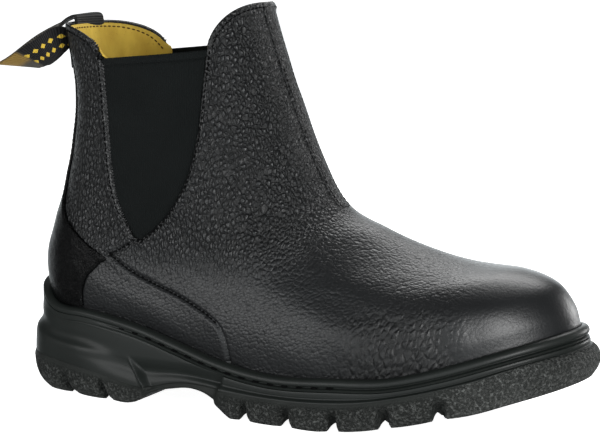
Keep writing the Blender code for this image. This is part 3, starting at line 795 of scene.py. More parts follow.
# The counter's edge: levels of the upper and degrees round from the back seam.
COUNTER = (
    (0.15, 40.0), (1.50, 42.0), (2.50, 45.0), (3.60, 50.0), (4.30, 52.5), (4.65, 46.0), (5.10, 39.0),
    (5.60, 31.0), (6.20, 24.5), (7.00, 20.0), (8.00, 18.2), (9.00, 18.0), (9.92, 18.5),
)
OVERLAY_EDGE = 0.0004
OVERLAY_RISE = 0.0013
OVERLAY_ROUND = 0.0016
OVERLAY_WALL = 0.0012

calf = Finish("smooth_hide", Specular_IOR_Level=0.11)
calf_warp = calf.place.warped(150.0, 0.002)
calf_grain = calf_warp.cells(1150.0).between(0.02, 0.34)
calf_folds = calf_warp.scaled(1.0, 1.0, 1.6).noise(180.0, 3.0)
calf_tone = calf.place.noise(30.0, 3.0)
calf.feed("Base Color", calf_tone.mix((0.0004, 0.0004, 0.0004), (0.0016, 0.0016, 0.0017)))
calf.feed("Roughness", 0.26 + calf_tone * 0.10 - calf_grain * 0.05)
calf.bump(calf_grain * 0.25 + calf_folds * 1.6, 0.00060, 0.8)


def overlay(name, columns, levels, angles, edges, edge_rise, rise, finish, slot):
    """A strip of leather over the upper, with its edges rounded down to it."""
    mesh, across, up = grid(columns, len(levels) - 1)
    level = levels[np.round(up * (len(levels) - 1)).astype(int)]
    angle = angles(0.5 - 0.5 * np.cos(math.pi * across), level)
    points = leather(angle, level)
    distance = np.min([line.distances(points)[0] for line in edges], axis=0)
    inward = np.clip(distance / OVERLAY_ROUND, 0.0, 1.0)
    lift = edge_rise + rise * np.sqrt(1 - (1 - inward) ** 2) + lie_relief(points)
    move(mesh, points + leather_out(angle, level) * lift[:, None])
    return thicken(put(name + "_leather", mesh, finish, slot, name), OVERLAY_WALL)


def counter_reach(level):
    """Angle from the back seam to the counter's edge at a level."""
    return np.radians(read_table(COUNTER, level)[:, 0])


counter_levels = np.linspace(COUNTER[0][0], COUNTER[-1][0], 150)
counter_edges = {
    name: Line(-side * counter_reach(counter_levels), counter_levels) for name, side in SIDES.items()
}
counter_top = float(counter_reach(counter_levels[-1:])[0])
counter_head = Line(np.linspace(-counter_top, counter_top, 60), np.full(60, counter_levels[-1]))
overlay(
    "heel_counter", 72, counter_levels,
    lambda across, level: (2 * across - 1) * counter_reach(level),
    [*counter_edges.values(), counter_head], OVERLAY_EDGE, OVERLAY_RISE, calf.material, "smooth_leather",
)

# Front strap
# A narrow strip of the same grained leather covers the seam down the front of the shaft. It is skived
# thin and sewn down along both edges.

STRAP_EDGE = 0.00012
STRAP_RISE = 0.00030
STRAP_HALF_WIDTH = 0.0056
STRAP_FOOT = 7.00
STRAP_HEAD = 9.95


def strap_angle(level, offset):
    """Angles at which the front of the upper is offset sideways from its middle line."""
    rings = rings_at(level)
    low, high = np.full(len(level), math.pi / 2), np.full(len(level), math.pi)
    for _ in range(HALVINGS):
        middle = (low + high) / 2
        x, y = plan(rings, middle)
        wide = rings[:, 11] * swing(x) - y > np.abs(offset)
        low, high = np.where(wide, middle, low), np.where(wide, high, middle)
    return np.where(offset < 0, low, 2 * math.pi - low)


def strap_line(levels, offsets):
    """A line over the upper, offset sideways from the middle of the front."""
    return Line(strap_angle(levels, offsets), levels)


strap_levels = np.linspace(STRAP_FOOT, STRAP_HEAD, 90)
strap_offsets = np.linspace(-STRAP_HALF_WIDTH, STRAP_HALF_WIDTH, 30)
strap_edges = {
    name: strap_line(strap_levels, np.full(len(strap_levels), side * STRAP_HALF_WIDTH))
    for name, side in SIDES.items()
}
strap_ends = [
    strap_line(np.full(len(strap_offsets), level), strap_offsets) for level in (STRAP_FOOT, STRAP_HEAD)
]
strap = overlay(
    "front_strap", 24, strap_levels,
    lambda across, level: strap_angle(level, (2 * across - 1) * STRAP_HALF_WIDTH),
    [*strap_edges.values(), *strap_ends], STRAP_EDGE, STRAP_RISE, hide.material, "pebbled_leather",
)
STRAP_ZONES = (0.75, 0.0, 0.0, 0.0)
paint(strap, "zones", np.tile(STRAP_ZONES, (len(strap.data.vertices), 1)))

# Stitches
# Black bonded thread in lock stitch: round the gores, along the counter's edges and the front strap, down
# the quarter's seam and round the collar. Brown thread sews the lining along the collar.

STITCH_PITCH = 0.0026
STITCH_LENGTH = 0.0021
THREAD = 0.00080
THICK_THREAD = 0.00090
FINE_THREAD = 0.00045
TWIST_PITCH = 0.0006
WINDOW_ASIDE = 0.0012
OVERLAY_ASIDE = 0.0014
COLLAR_ASIDE = 0.0028
LINING_ASIDE = 0.0036
SEAM_SINK = SEAM_DEPTH * 0.4
COUNTER_SINK = 0.0004
STRAP_SINK = 0.0001

thread = Finish("black_thread", Specular_IOR_Level=0.06)
thread_tone = thread.place.noise(900.0)
thread.feed("Base Color", thread_tone.mix((0.0008, 0.0008, 0.0009), (0.0024, 0.0024, 0.0026)))
thread.feed("Roughness", 0.70 + thread.place.noise(300.0) * 0.2)
thread.bump((thread.place.part(0) + thread.place.part(2) * 0.9).wave(TWIST_PITCH), 0.0001, 0.6)


def sew(mesh, points, out, pitch=STITCH_PITCH, length=STITCH_LENGTH, width=THREAD):
    """Adds a row of stitches along the points."""
    steps = np.linalg.norm(np.diff(points, axis=0), axis=1)
    run = np.concatenate(((0.0,), np.cumsum(steps)))
    for number in range(int(run[-1] / pitch)):
        at = (number + 0.5) * pitch
        place, ahead, behind, up = (
            Vector([np.interp(value, run, column) for column in rows.T])
            for value, rows in ((at, points), (at + length / 2, points), (at - length / 2, points), (at, out))
        )
        along = (ahead - behind).normalized()
        side = up.cross(along).normalized()
        rise = along.cross(side)
        axes = Matrix((along * length / 2, side * width / 2, rise * width / 2)).transposed().to_4x4()
        bmesh.ops.create_uvsphere(
            mesh, u_segments=8, v_segments=5, radius=1.0, matrix=Matrix.Translation(place) @ axes
        )


def stitches(name, rows, finish=thread, slot="smooth_leather"):
    """A piece of stitch rows: each a line, how far aside and off the leather it is sewn, and its thread."""
    mesh = bmesh.new()
    for line, aside, lift, width in rows:
        sew(mesh, line.shifted(aside, lift), line.out, width=width)
    bmesh.ops.recalc_face_normals(mesh, faces=mesh.faces)
    return put(name, mesh, finish.material, slot)


OVERLAY_TOP = OVERLAY_EDGE + OVERLAY_RISE
for side_name, side in SIDES.items():
    stitches("stitches_" + side_name, (
        (windows[side_name], side * WINDOW_ASIDE, FOLD_HEIGHT, THREAD),
        (seam_line(QUARTER_SEAM[:SEWN_ROWS], side), 0.0, -SEAM_SINK, THICK_THREAD),
        (corners[side_name], 0.0, -SEAM_SINK, THICK_THREAD),
        (counter_edges[side_name], -side * OVERLAY_ASIDE, OVERLAY_TOP - COUNTER_SINK, THREAD),
        (strap_edges[side_name], side * OVERLAY_ASIDE, STRAP_EDGE + STRAP_RISE - STRAP_SINK, FINE_THREAD),
    ))
stitches("stitches_collar", [(collar, -COLLAR_ASIDE, FOLD_HEIGHT, THREAD) for collar in collars])

LINING_FACE = LINING_DEPTH + LINING_WALL
brown_thread = Finish("brown_thread", Specular_IOR_Level=0.1)
brown_cloud = brown_thread.place.noise(700.0)
brown_thread.feed("Base Color", brown_cloud.mix((0.045, 0.020, 0.006), (0.110, 0.055, 0.016)))
brown_thread.feed("Roughness", 0.65 + brown_cloud * 0.2)
lining_rows = [(collar, -LINING_ASIDE, -LINING_FACE, THREAD) for collar in collars]
stitches("stitches_lining", lining_rows, brown_thread, "lining")

# Insole
# The footbed inside the boot: a cushioned board faced with the lining's leather. It lies on the midsole,
# inside the foot of the upper.

INSOLE_THICKNESS = 0.0035
INSOLE_INSET = 0.0029
GAP = 0.0003
SIDE_CROWDING = 0.17


def rim_point(angle, grow, share, drop):
    """Points of a sole layer: the rim's outline grown outward, narrowed to a share of its width."""
    ring = RINGS[None, 0]
    x, y = plan(ring, angle)
    ahead, behind = (np.stack(plan(ring, angle + step), 1) for step in (ANGLE_STEP, -ANGLE_STEP))
    along = unit(ahead - behind)
    edge = np.stack((x, y), 1) + np.stack((along[:, 1], -along[:, 0]), 1) * np.reshape(grow, (-1, 1))
    middle_x = x - grow * np.cos(angle)
    middle = np.stack((middle_x, swing(middle_x)), 1)
    flat = middle + (edge - middle) * np.reshape(share, (-1, 1))
    height = ring_heights(ring, angle) + rim_lift(x, 0.0) - drop
    return np.column_stack((flat[:, 0] - HEEL_CENTRE, flat[:, 1], height))


def ring_mesh(angles, rows, place):
    """A closed band round the sole: one column for each angle, one row for each entry of rows."""
    mesh, across, up = grid(len(angles) - 1, len(rows) - 1)
    column = np.round(across * (len(angles) - 1)).astype(int)
    row = np.round(up * (len(rows) - 1)).astype(int)
    move(mesh, place(angles[column], rows[row]))
    bmesh.ops.remove_doubles(mesh, verts=mesh.verts, dist=WELD)
    return mesh


def even_angles(count):
    """Angles all round, closer together along the boot's long sides."""
    share = np.linspace(0.0, 1.0, count + 1)
    return 2 * math.pi * share + SIDE_CROWDING * np.sin(4 * math.pi * share)


# Rows round the insole's section: share of its width and of its thickness.
insole_rows = np.array((
    (0.00, 0.0), (0.50, 0.0), (0.97, 0.0), (1.00, 0.15), (1.00, 0.75), (0.985, 0.95), (0.96, 1.0),
    (0.80, 0.98), (0.60, 0.95), (0.40, 0.93), (0.20, 0.92), (0.00, 0.92),
))
insole_mesh = ring_mesh(
    even_angles(160), insole_rows,
    lambda angle, row: rim_point(
        angle, -INSOLE_INSET, row[:, 0], SEAT_DEPTH - GAP - INSOLE_THICKNESS * row[:, 1]
    ),
)
put("insole_board", insole_mesh, pigskin.material, "lining", "insole")

# Welt
# The sole's moulded rim: a rounded band of smooth charcoal rubber that grips the foot of the upper, with
# a groove along it that is sewn from the waist to the ball.

BACK_BLEND = (0.000, 0.032)
GROOVE_OPENS = (0.045, 0.090)
WELT_BACK = 1.75
WELT_FLUSH = 0.0041
WELT_SHOULDER = 0.42
# Rows up the rim's section: share of the way round it, growth outward and drop below the rim's line.
WELT = (
    (0.00, 0.0020, SEAT_DEPTH + 0.0004),
    (0.05, 0.0038, SEAT_DEPTH + 0.0003),
    (0.10, 0.0042, SEAT_DEPTH - 0.0003),
    (0.18, 0.0041, 0.0056),
    (0.25, 0.0037, 0.0051),
    (0.31, 0.0027, 0.0047),
    (0.36, 0.0026, 0.0043),
    (0.42, 0.0037, 0.0039),
    (0.50, 0.0042, 0.0031),
    (0.58, 0.0040, 0.0019),
    (0.66, 0.0033, 0.0009),
    (0.74, 0.0022, 0.0003),
    (0.82, 0.0011, 0.0002),
    (0.90, 0.0004, 0.0008),
    (0.95, GAP, 0.0022),
    (1.00, GAP, SEAT_DEPTH + 0.0002),
)

rubber = Finish("smooth_rubber", Specular_IOR_Level=0.2, Coat_Roughness=0.28)
rubber_cloud = rubber.place.noise(34.0, 4.0)
rubber_fine = rubber.place.noise(700.0, 3.0)
rubber.feed("Base Color", rubber_cloud.mix((0.0048, 0.0062, 0.0054), (0.0098, 0.0120, 0.0107)))
rubber.feed("Roughness", 0.44 + rubber_cloud * 0.12 + rubber_fine * 0.06)
rubber.feed("Coat Weight", 0.14 + rubber_cloud * 0.10)
rubber.bump(rubber_fine * 0.5 + rubber.place.noise(90.0, 2.0), 0.00012, 0.5)


def behind_heel(x):
    """1 at the back of the heel, 0 from beside it forward."""
    return 1 - soft(*BACK_BLEND, x)


def grooved(x):
    """How open the sewn groove is: closed round the heel, open from the waist forward."""
    return soft(*GROOVE_OPENS, x)


def welt_place(angle, row):
    """Points of the rim at the angles and rows of its section."""
    grown, drop = read_table(WELT, row).T
    x = plan(RINGS[None, 0], angle)[0]
    flush = np.where(row < WELT_SHOULDER, WELT_FLUSH, np.minimum(grown, WELT_FLUSH))
    grown = flush + (grown - flush) * grooved(x)
    grow = GAP + (grown - GAP) * (1 + (WELT_BACK - 1) * behind_heel(x))
    return rim_point(angle, grow, np.ones(len(angle)), drop)


welt_rows = np.linspace(0.0, 1.0, 51)
welt_mesh = ring_mesh(even_angles(300), welt_rows, welt_place)
put("welt_rim", welt_mesh, rubber.material, "sole_rubber", "welt")

GROOVE_SEWN = (0.062, 0.190)
GROOVE_GROW = 0.0033
GROOVE_DROP = 0.0046
GROOVE_PITCH = 0.0080
GROOVE_STITCH = 0.0036
GROOVE_THREAD = 0.0014


def rim_turn(x):
    """Angles from the back at which the rim lies at x."""
    back, front = RINGS[0, :2]
    return np.arccos(np.clip(1 - 2 * (np.array(x) - back) / (front - back), -1.0, 1.0))


groove_mesh = bmesh.new()
for side in SIDES.values():
    groove_angle = -side * np.linspace(*rim_turn(GROOVE_SEWN), 240)
    groove_points = rim_point(groove_angle, GROOVE_GROW, 1.0, GROOVE_DROP)
    groove_out = unit(rim_point(groove_angle, 0.001, 1.0, 0.0) - rim_point(groove_angle, 0.0, 1.0, 0.0))
    sew(groove_mesh, groove_points, groove_out, GROOVE_PITCH, GROOVE_STITCH, GROOVE_THREAD)
bmesh.ops.recalc_face_normals(groove_mesh, faces=groove_mesh.faces)
put("stitches_welt", groove_mesh, thread.material, "sole_rubber")

# Midsole
# The smooth side of the moulded sole between tread and rim. It steps out in a ledge round the heel and
# draws in at the waist in front of the heel block.

# The sole seen from the side: x, height of its floor line and height of the tread's top.
SOLE = (
    (-0.006, 0.0060, 0.0170), (0.004, 0.0022, 0.0170), (0.014, 0.0000, 0.0168), (0.030, 0.0000, 0.0155),
    (0.052, 0.0000, 0.0132), (0.068, 0.0000, 0.0108), (0.075, 0.0018, 0.0098), (0.082, 0.0062, 0.0100),
    (0.094, 0.0097, 0.0130), (0.105, 0.0110, 0.0143), (0.113, 0.0095, 0.0142), (0.120, 0.0058, 0.0138),
    (0.129, 0.0000, 0.0134), (0.150, 0.0000, 0.0130), (0.174, 0.0000, 0.0136), (0.196, 0.0022, 0.0158),
    (0.217, 0.0060, 0.0200), (0.234, 0.0097, 0.0242), (0.249, 0.0128, 0.0285), (0.262, 0.0168, 0.0330),
    (0.275, 0.0205, 0.0366), (0.291, 0.0252, 0.0386),
)
# Growth past the rim up a layer's side: share of its height, at the back, heel, forefoot and toe.
MIDSOLE_SIDE = (
    (0.00, 0.0122, 0.0056, 0.0060, 0.0056),
    (0.10, 0.0121, 0.0057, 0.0059, 0.0055),
    (0.20, 0.0119, 0.0058, 0.0054, 0.0051),
    (0.30, 0.0117, 0.0058, 0.0046, 0.0047),
    (0.38, 0.0114, 0.0058, 0.0044, 0.0047),
    (0.46, 0.0106, 0.0054, 0.0044, 0.0048),
    (0.52, 0.0090, 0.0044, 0.0045, 0.0048),
    (0.57, 0.0081, 0.0038, 0.0045, 0.0048),
    (0.80, 0.0076, 0.0034, 0.0045, 0.0047),
    (0.94, 0.0070, 0.0033, 0.0044, 0.0045),
    (0.985, 0.0066, 0.0032, 0.0043, 0.0044),
    (1.00, 0.0058, 0.0026, 0.0041, 0.0042),
)
HEEL_BLEND = (0.038, 0.068)
TOE_BLEND = (0.245, 0.282)
BED_DEPTH = SEAT_DEPTH + GAP
WAIST_RECESS = 0.0028
WAIST_EDGE = 0.002
WAIST_TOP = (0.016, 0.024)
CREASE_BEAD = 0.0010
BEAD_SETBACK = 0.0006
BEAD_REACH = 0.0009
CREASE_SPAN = (0.060, 0.092)
# Slanted lines at the waist seen from the side: x at a height, and how far x goes forward on the way down.
HEEL_CREASE = (0.0707, 0.0226, 0.82)
FIRST_LUG = (0.1215, 0.0050, -0.30)


def growth(table, share, x):
    """Outward growth of the sole's side at a share of its height."""
    back, heel, fore, toe = read_table(table, share).T
    grown = back + (heel - back) * soft(*BACK_BLEND, x)
    grown += (fore - heel) * soft(*HEEL_BLEND, x)
    return grown + (toe - fore) * soft(*TOE_BLEND, x)


def floor_height(x):
    """Height of the tread's underside at x."""
    return np.maximum(read_table(SOLE, x)[:, 0], 0.0)


def tread_height(x):
    """Height of the tread's top at x."""
    return read_table(SOLE, x)[:, 1]


def layer_rows(shares, inner):
    """Rows of a closed layer: in along the bottom, up the side and in along the top."""
    bottom = [(shares[0], width) for width in inner]
    top = [(shares[-1], width) for width in reversed(inner)]
    return np.array(bottom + [(share, 1.0) for share in shares] + top)


def slanted_x(line, z):
    """x of a slanted line at a height."""
    at, height, slant = line
    return at + (height - z) * slant


def waist_recess(x, z):
    """How far the sole's side is drawn in at the waist, between the heel block and the first lug."""
    heel_crease, first_lug = slanted_x(HEEL_CREASE, z), slanted_x(FIRST_LUG, z)
    past_heel = soft(heel_crease, heel_crease + WAIST_EDGE, x)
    before_lug = 1 - soft(first_lug - WAIST_EDGE, first_lug, x)
    bead = CREASE_BEAD * mound(heel_crease - BEAD_SETBACK, BEAD_REACH, x)
    return (WAIST_RECESS * past_heel * before_lug - bead) * (1 - soft(*WAIST_TOP, z))


def midsole_place(angle, row):
    """Points of the midsole at the angles and rows of its section."""
    share, width = row.T
    x = plan(RINGS[None, 0], angle)[0]
    grow = growth(MIDSOLE_SIDE, share, x)
    points = rim_point(angle, grow, width, BED_DEPTH)
    low = tread_height(points[:, 0] + HEEL_CENTRE) - GAP
    high = points[:, 2]
    points = rim_point(angle, grow - waist_recess(x, low + (high - low) * share), width, BED_DEPTH)
    points[:, 2] = low + (high - low) * share
    return points


midsole_rows = layer_rows(
    np.concatenate((np.linspace(0.0, 0.94, 30), (0.965, 0.985, 1.0))),
    (0.0, 0.35, 0.7, 0.9),
)
crease_turns = np.linspace(*rim_turn(CREASE_SPAN), 80)
midsole_angles = np.unique(np.concatenate((even_angles(420), crease_turns, 2 * math.pi - crease_turns)))
midsole_mesh = ring_mesh(midsole_angles, midsole_rows, midsole_place)
put("midsole_body", midsole_mesh, rubber.material, "sole_rubber", "midsole")

# Outsole
# The tread of rough charcoal rubber under heel and forefoot, with rounded notches in its edge that run
# into grooves between the lugs, and a rough bumper that climbs over the toe.

TREAD_SIDE = (
    (0.00, 0.0090, 0.0026, 0.0040, 0.0060),
    (0.22, 0.0122, 0.0060, 0.0062, 0.0084),
    (0.75, 0.0128, 0.0066, 0.0066, 0.0090),
    (0.92, 0.0126, 0.0063, 0.0063, 0.0074),
    (1.00, 0.0122, 0.0058, 0.0058, 0.0056),
)
FORE_NOTCHES = (0.1370, 0.1600, 0.1840, 0.2088, 0.2326)
HEEL_NOTCHES = (0.0120, 0.0320, 0.0550)
NOTCH_HALF = {"fore": 0.0026, "heel": 0.0021}
NOTCH_DEPTH = 0.0040
NOTCH_HEIGHT = 0.0105
NOTCH_FADE = (0.45 * NOTCH_HEIGHT, 1.15 * NOTCH_HEIGHT)
HEEL_NOTCH_SLANT = 0.39
HEEL_NOTCH_MIDDLE = 0.006
NOTCH_FLANK = 0.0025
SHOULDER_REACH = 0.0046
SHOULDER_DEPTH = 0.0019
GROOVE_DEPTH = 0.0032
GROOVE_FADE = (0.0, 0.30)
GROOVE_SLANT = 0.47
SLANTED_REACH = 0.020
# Where each finish of the tread and the painted shade in its notches starts and is whole, along the boot or
# as a share of the tread's height.
BUMPER_BACK = (0.226, 0.250)
WAIST_BACK = (0.076, 0.082)
WAIST_FRONT = (0.122, 0.128)
ROUGH_TOP = (0.70, 0.92)
NOTCH_SHADE_TOP = (0.50, 0.90)

tread_rubber = Finish("rough_rubber", Specular_IOR_Level=0.15)
tread_zone = tread_rubber.place.node("ShaderNodeAttribute", {"attribute_name": "zones"}, {})
tread_rough, tread_bumper, tread_notch_shade = (tread_zone.part(number) for number in range(3))
crumb = tread_rubber.place.noise(800.0, 4.0, 0.7).between(0.36, 0.62)
crumb = crumb * tread_rough * (0.6 + tread_bumper * 0.4)
tread_cloud = tread_rubber.place.noise(60.0, 3.0)
tread_tone = (crumb * 0.8 + tread_cloud * 0.35 + tread_bumper * 0.2).between(0.1, 1.2)
# Darker down in the notches: painted shade in the recesses of the tread.
tread_tone = tread_tone * (1 - tread_notch_shade * 0.7)
tread_rubber.feed("Base Color", tread_tone.mix((0.0105, 0.0120, 0.0108), (0.0820, 0.0860, 0.0820)))
tread_rubber.feed("Roughness", 0.52 + tread_rough * 0.22)
tread_rubber.bump(crumb, 0.0016)


def notch_profile(x, z):
    """How deep in a notch each point lies, 1 in its middle, and how near a lug's rounded shoulder."""
    deep, shoulder = np.zeros(len(x)), np.zeros(len(x))
    slanted = x + HEEL_NOTCH_SLANT * (z - HEEL_NOTCH_MIDDLE)
    for kind, places, at in (("fore", FORE_NOTCHES, x), ("heel", HEEL_NOTCHES, slanted)):
        half = NOTCH_HALF[kind]
        for place in places:
            deep = np.maximum(deep, np.sqrt(np.clip(1 - ((at - place) / half) ** 2, 0.0, 1.0)))
            shoulder = np.maximum(shoulder, mound(place, SHOULDER_REACH, at))
    return deep, shoulder


def tread_angles(count):
    """Angles all round the tread, with extra columns on the notches' flanks."""
    places = []
    for kind, notches in (("fore", FORE_NOTCHES), ("heel", HEEL_NOTCHES)):
        spread = (NOTCH_HALF[kind] + NOTCH_FLANK) * np.linspace(-1.0, 1.0, 25)
        places += [place + offset for place in notches for offset in spread]
    turns = rim_turn(places)
    return np.unique(np.concatenate((even_angles(count), turns, 2 * math.pi - turns)))


def outsole_place(angle, row):
    """Points of the tread at the angles and rows of its section."""
    share, width = row.T
    x = plan(RINGS[None, 0], angle)[0]
    grown = growth(TREAD_SIDE, share, x)
    points = rim_point(angle, grown, width, 0.0)
    edge = rim_point(angle, grown, 1.0, 0.0)
    inset = np.minimum(np.linalg.norm(edge[:, :2] - points[:, :2], axis=1), SLANTED_REACH)
    at = points[:, 0] + HEEL_CENTRE
    low, high = floor_height(at), tread_height(at)
    points[:, 2] = low + (high - low) * share
    deep, shoulder = notch_profile(x + GROOVE_SLANT * inset, points[:, 2])
    fade = 1 - soft(*NOTCH_FADE, points[:, 2] - low)
    drawn_in = (NOTCH_DEPTH * deep + SHOULDER_DEPTH * shoulder) * fade + waist_recess(x, points[:, 2])
    points[:, :2] = rim_point(angle, grown - drawn_in, width, 0.0)[:, :2]
    points[:, 2] += GROOVE_DEPTH * deep * (1 - soft(*GROOVE_FADE, share))
    return points


def tread_zones(points):
    """Finish of the tread at each point: rough, on the toe's bumper, and painted shade down in a notch."""
    at = points[:, 0] + HEEL_CENTRE
    low, high = floor_height(at), tread_height(at)
    share = (points[:, 2] - low) / (high - low)
    bumper = soft(*BUMPER_BACK, at)
    waist = soft(*WAIST_BACK, at) * (1 - soft(*WAIST_FRONT, at))
    rough = (1 - soft(*ROUGH_TOP, share) * (1 - bumper)) * (1 - waist)
    notch_shade = notch_profile(at, points[:, 2])[0] * (1 - soft(*NOTCH_SHADE_TOP, share)) * (1 - waist)
    return np.stack((rough, bumper, notch_shade, np.ones(len(points))), axis=1)


outsole_rows = layer_rows(
    np.concatenate((np.linspace(0.0, 0.24, 8), np.linspace(0.30, 1.0, 12))),
    (0.0, 0.25, 0.5, 0.72, 0.86, 0.94),
)
outsole_mesh = ring_mesh(tread_angles(300), outsole_rows, outsole_place)
outsole = put("outsole_tread", outsole_mesh, tread_rubber.material, "tread_rubber", "outsole")
paint(outsole, "zones", tread_zones(np.array([vert.co for vert in outsole.data.vertices])))

# Pull loop
# A loop of woven tape sewn inside and outside the back of the collar. It has a pale ribbed ground on one
# face and a dark face with two plain rows of yellow diamonds.

# Rows along the tape: its far edge, its near edge (x, y and height) and how far its middle bows back.
TAPE = (
    (0.0250, 0.0158, 0.1750, 0.0226, -0.0068, 0.1750, 0.0014),
    (0.0243, 0.0158, 0.1815, 0.0219, -0.0068, 0.1820, 0.0014),
    (0.0217, 0.0158, 0.1852, 0.0208, -0.0072, 0.1848, 0.0014),
    (0.0116, 0.0105, 0.1833, 0.0152, -0.0100, 0.1806, 0.0008),
    (-0.0050, 0.0030, 0.1748, 0.0080, -0.0085, 0.1690, 0.0000),
    (-0.0200, -0.0020, 0.1635, 0.0000, -0.0060, 0.1615, 0.0000),
    (-0.0240, -0.0055, 0.1602, 0.0005, -0.0075, 0.1590, 0.0000),
    (-0.0200, -0.0090, 0.1611, 0.0047, -0.0115, 0.1596, 0.0000),
    (-0.0023, -0.0098, 0.1712, 0.0116, -0.0150, 0.1609, 0.0000),
    (0.0165, -0.0125, 0.1796, 0.0196, -0.0155, 0.1663, 0.0000),
    (0.0219, 0.0158, 0.1690, 0.0182, -0.0068, 0.1690, 0.0013),
    (0.0236, 0.0158, 0.1590, 0.0198, -0.0068, 0.1590, 0.0013),
)
TAPE_THICKNESS = 0.0013
TAPE_GRID = (18, 132)
TAPE_RIBS = 110
DIAMONDS = 22
DIAMOND_ROWS = (0.30, 0.64)
DIAMOND_SLIMNESS = 7.5

tape = Finish("woven_tape", Specular_IOR_Level=0.2, Sheen_Weight=0.05)
tape_across, tape_along = tape.flat.part(0), tape.flat.part(1)
tape_ribs = tape_along.wave(1 / TAPE_RIBS)
paler_along = tape_along.between(0.10, 0.30)
dark_face = tape_along.between(0.555, 0.575)
fold = tape_along.between(0.43, 0.47) * (1 - dark_face) * tape_across.between(0.35, 0.60)
along_diamond = (tape_along.math("FRACT", tape_along * DIAMONDS) - 0.5).size() * 2
near_row, far_row = (
    (1 - along_diamond - (tape_across - place).size() * DIAMOND_SLIMNESS).between(0.28, 0.36)
    for place in DIAMOND_ROWS
)
diamonds = (near_row + far_row) * dark_face * (1 - tape_along.between(0.90, 0.91))
# Dark at the tape's start, paler further along it.
tape_tone = paler_along.mix((0.020, 0.020, 0.0205), (0.075, 0.066, 0.052))
tape_tone = tape_ribs.between(-1.0, 0.4).mix((0.006, 0.006, 0.006), tape_tone)
tape_tone = fold.mix(tape_tone, (0.17, 0.105, 0.022))
tape_tone = dark_face.mix(tape_tone, (0.0045, 0.0045, 0.0048))
tape.feed("Base Color", diamonds.mix(tape_tone, (0.55, 0.37, 0.035)))
tape.feed("Roughness", 0.7 + tape.place.noise(500.0) * 0.15)
tape.bump(tape_ribs + tape.place.noise(1400.0), 0.00022, 0.8)


def tape_piece():
    """The tape's skin along its rows, with its width and length as a flat map."""
    mesh, across, up = grid(*TAPE_GRID)
    numbered = [(number, *row) for number, row in enumerate(TAPE)]
    middle = read_table(numbered, np.linspace(0.0, len(TAPE) - 1, 200))
    middle = (middle[:, 0:3] + middle[:, 3:6]) / 2
    run = np.concatenate(((0.0,), np.cumsum(np.linalg.norm(np.diff(middle, axis=0), axis=1))))
    along = np.interp(up, np.linspace(0.0, 1.0, 200), run / run[-1])
    flat = mesh.loops.layers.uv.new("flat")
    mesh.verts.index_update()
    for face in mesh.faces:
        for loop in face.loops:
            loop[flat].uv = across[loop.vert.index], along[loop.vert.index]
    rows = read_table(numbered, up * (len(TAPE) - 1))
    near, far = rows[:, 3:6], rows[:, 0:3]
    points = near + (far - near) * across[:, None]
    points[:, 0] -= rows[:, 6] * (1 - (2 * across - 1) ** 2) + HEEL_CENTRE
    move(mesh, points)
    return thicken(put("pull_loop_tape", mesh, tape.material, "loop_tape", "pull_loop"), TAPE_THICKNESS, 0.0)


tape_piece()

# Studio
# A pale floor, four softboxes and a dim room with pale cards that show in the gloss. The camera stands at
# the photo's viewing angle.

FLOOR_HALF = 20.0
ROOM_LIGHT = 0.09
# Pale cards round the boot, seen in its gloss: the way to each, where it fades out and is whole, its light.
CARDS = (
    ((-0.30, 0.945, -0.13), 0.88, 0.98, 1.9),
    ((0.50, -0.78, -0.38), 0.20, 0.95, 0.60),
    ((-0.06, -0.97, 0.22), 0.78, 0.99, 1.0),
    ((-0.36, 0.90, 0.25), 0.92, 0.985, 1.3),
    ((-0.75, 0.65, -0.12), 0.94, 0.99, 1.2),
)
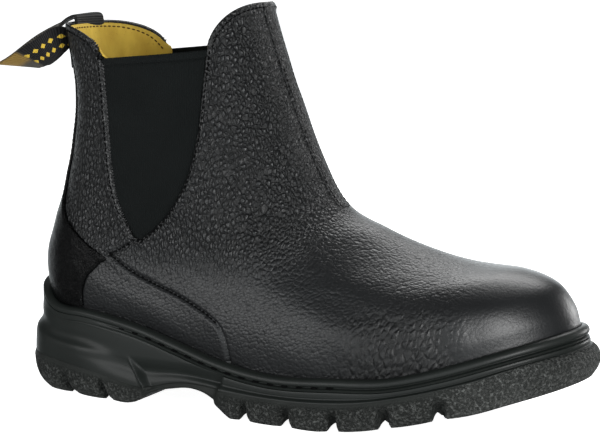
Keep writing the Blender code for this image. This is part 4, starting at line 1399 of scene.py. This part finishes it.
# Softboxes: name, place, aim, width, height and watts.
SOFTBOXES = (
    ("overhead", (0.00, 0.75, 1.05), (0.12, 0.0, 0.05), 1.0, 0.5, 11),
    ("rim", (0.64, 0.86, 0.16), (0.22, 0.0, 0.05), 0.35, 0.28, 2.5),
    ("key", (1.20, -0.75, 0.36), (0.15, 0.0, 0.06), 0.5, 0.6, 13),
    ("fill", (-0.75, -1.10, 0.28), (0.05, 0.0, 0.08), 1.1, 0.6, 7),
)
CAMERA_AT = (0.52797, -0.90577, 0.23252)
CAMERA_AIM = (0.09993, 0.0, 0.08999)
CAMERA_LENS = 125.96
SENSOR_WIDTH = 36.0

floor_mesh = bmesh.new()
bmesh.ops.create_grid(floor_mesh, x_segments=2, y_segments=2, size=FLOOR_HALF)
floor_data = bpy.data.meshes.new("floor")
floor_mesh.to_mesh(floor_data)
floor_mesh.free()
paper = Finish(
    "white_paper", Base_Color=(0.9, 0.9, 0.9, 1.0), Roughness=0.9,
    Emission_Color=(1.0, 1.0, 1.0, 1.0), Emission_Strength=0.95,
)
floor_data.materials.append(paper.material)
floor = bpy.data.objects.new("floor", floor_data)
bpy.context.scene.collection.objects.link(floor)
floor.visible_glossy = False

sky = bpy.data.worlds.new("studio")
sky.use_nodes = True
ray = Shade(sky.node_tree.nodes.new("ShaderNodeTexCoord").outputs["Generated"])


def card_light(way, low, high, light):
    """The light of one card, as far as a ray points its way."""
    along = ray.node("ShaderNodeVectorMath", {"operation": "DOT_PRODUCT"}, {0: ray, 1: way}, 1)
    return along.between(low, high) * light


room = sum((card_light(*card) for card in CARDS), ROOM_LIGHT)
sky.node_tree.nodes["Background"].inputs["Color"].default_value = (0.92, 0.98, 1.0, 1.0)
sky.node_tree.links.new(room.socket, sky.node_tree.nodes["Background"].inputs["Strength"])
bpy.context.scene.world = sky
bpy.context.scene.view_settings.view_transform = "Standard"


def aimed(name, data, at, aim):
    """A light or camera at a place, turned to its aim."""
    made = bpy.data.objects.new(name, data)
    made.location = at
    made.rotation_euler = (Vector(aim) - Vector(at)).to_track_quat("-Z", "Y").to_euler()
    bpy.context.scene.collection.objects.link(made)
    return made


for name, at, aim, width, height, watts in SOFTBOXES:
    light = bpy.data.lights.new(name, "AREA")
    light.shape = "RECTANGLE"
    light.size = width
    light.size_y = height
    light.energy = watts
    aimed(name, light, at, aim)

lens = bpy.data.cameras.new("camera")
lens.lens = CAMERA_LENS
lens.sensor_width = SENSOR_WIDTH
bpy.context.scene.camera = aimed("camera", lens, CAMERA_AT, CAMERA_AIM)
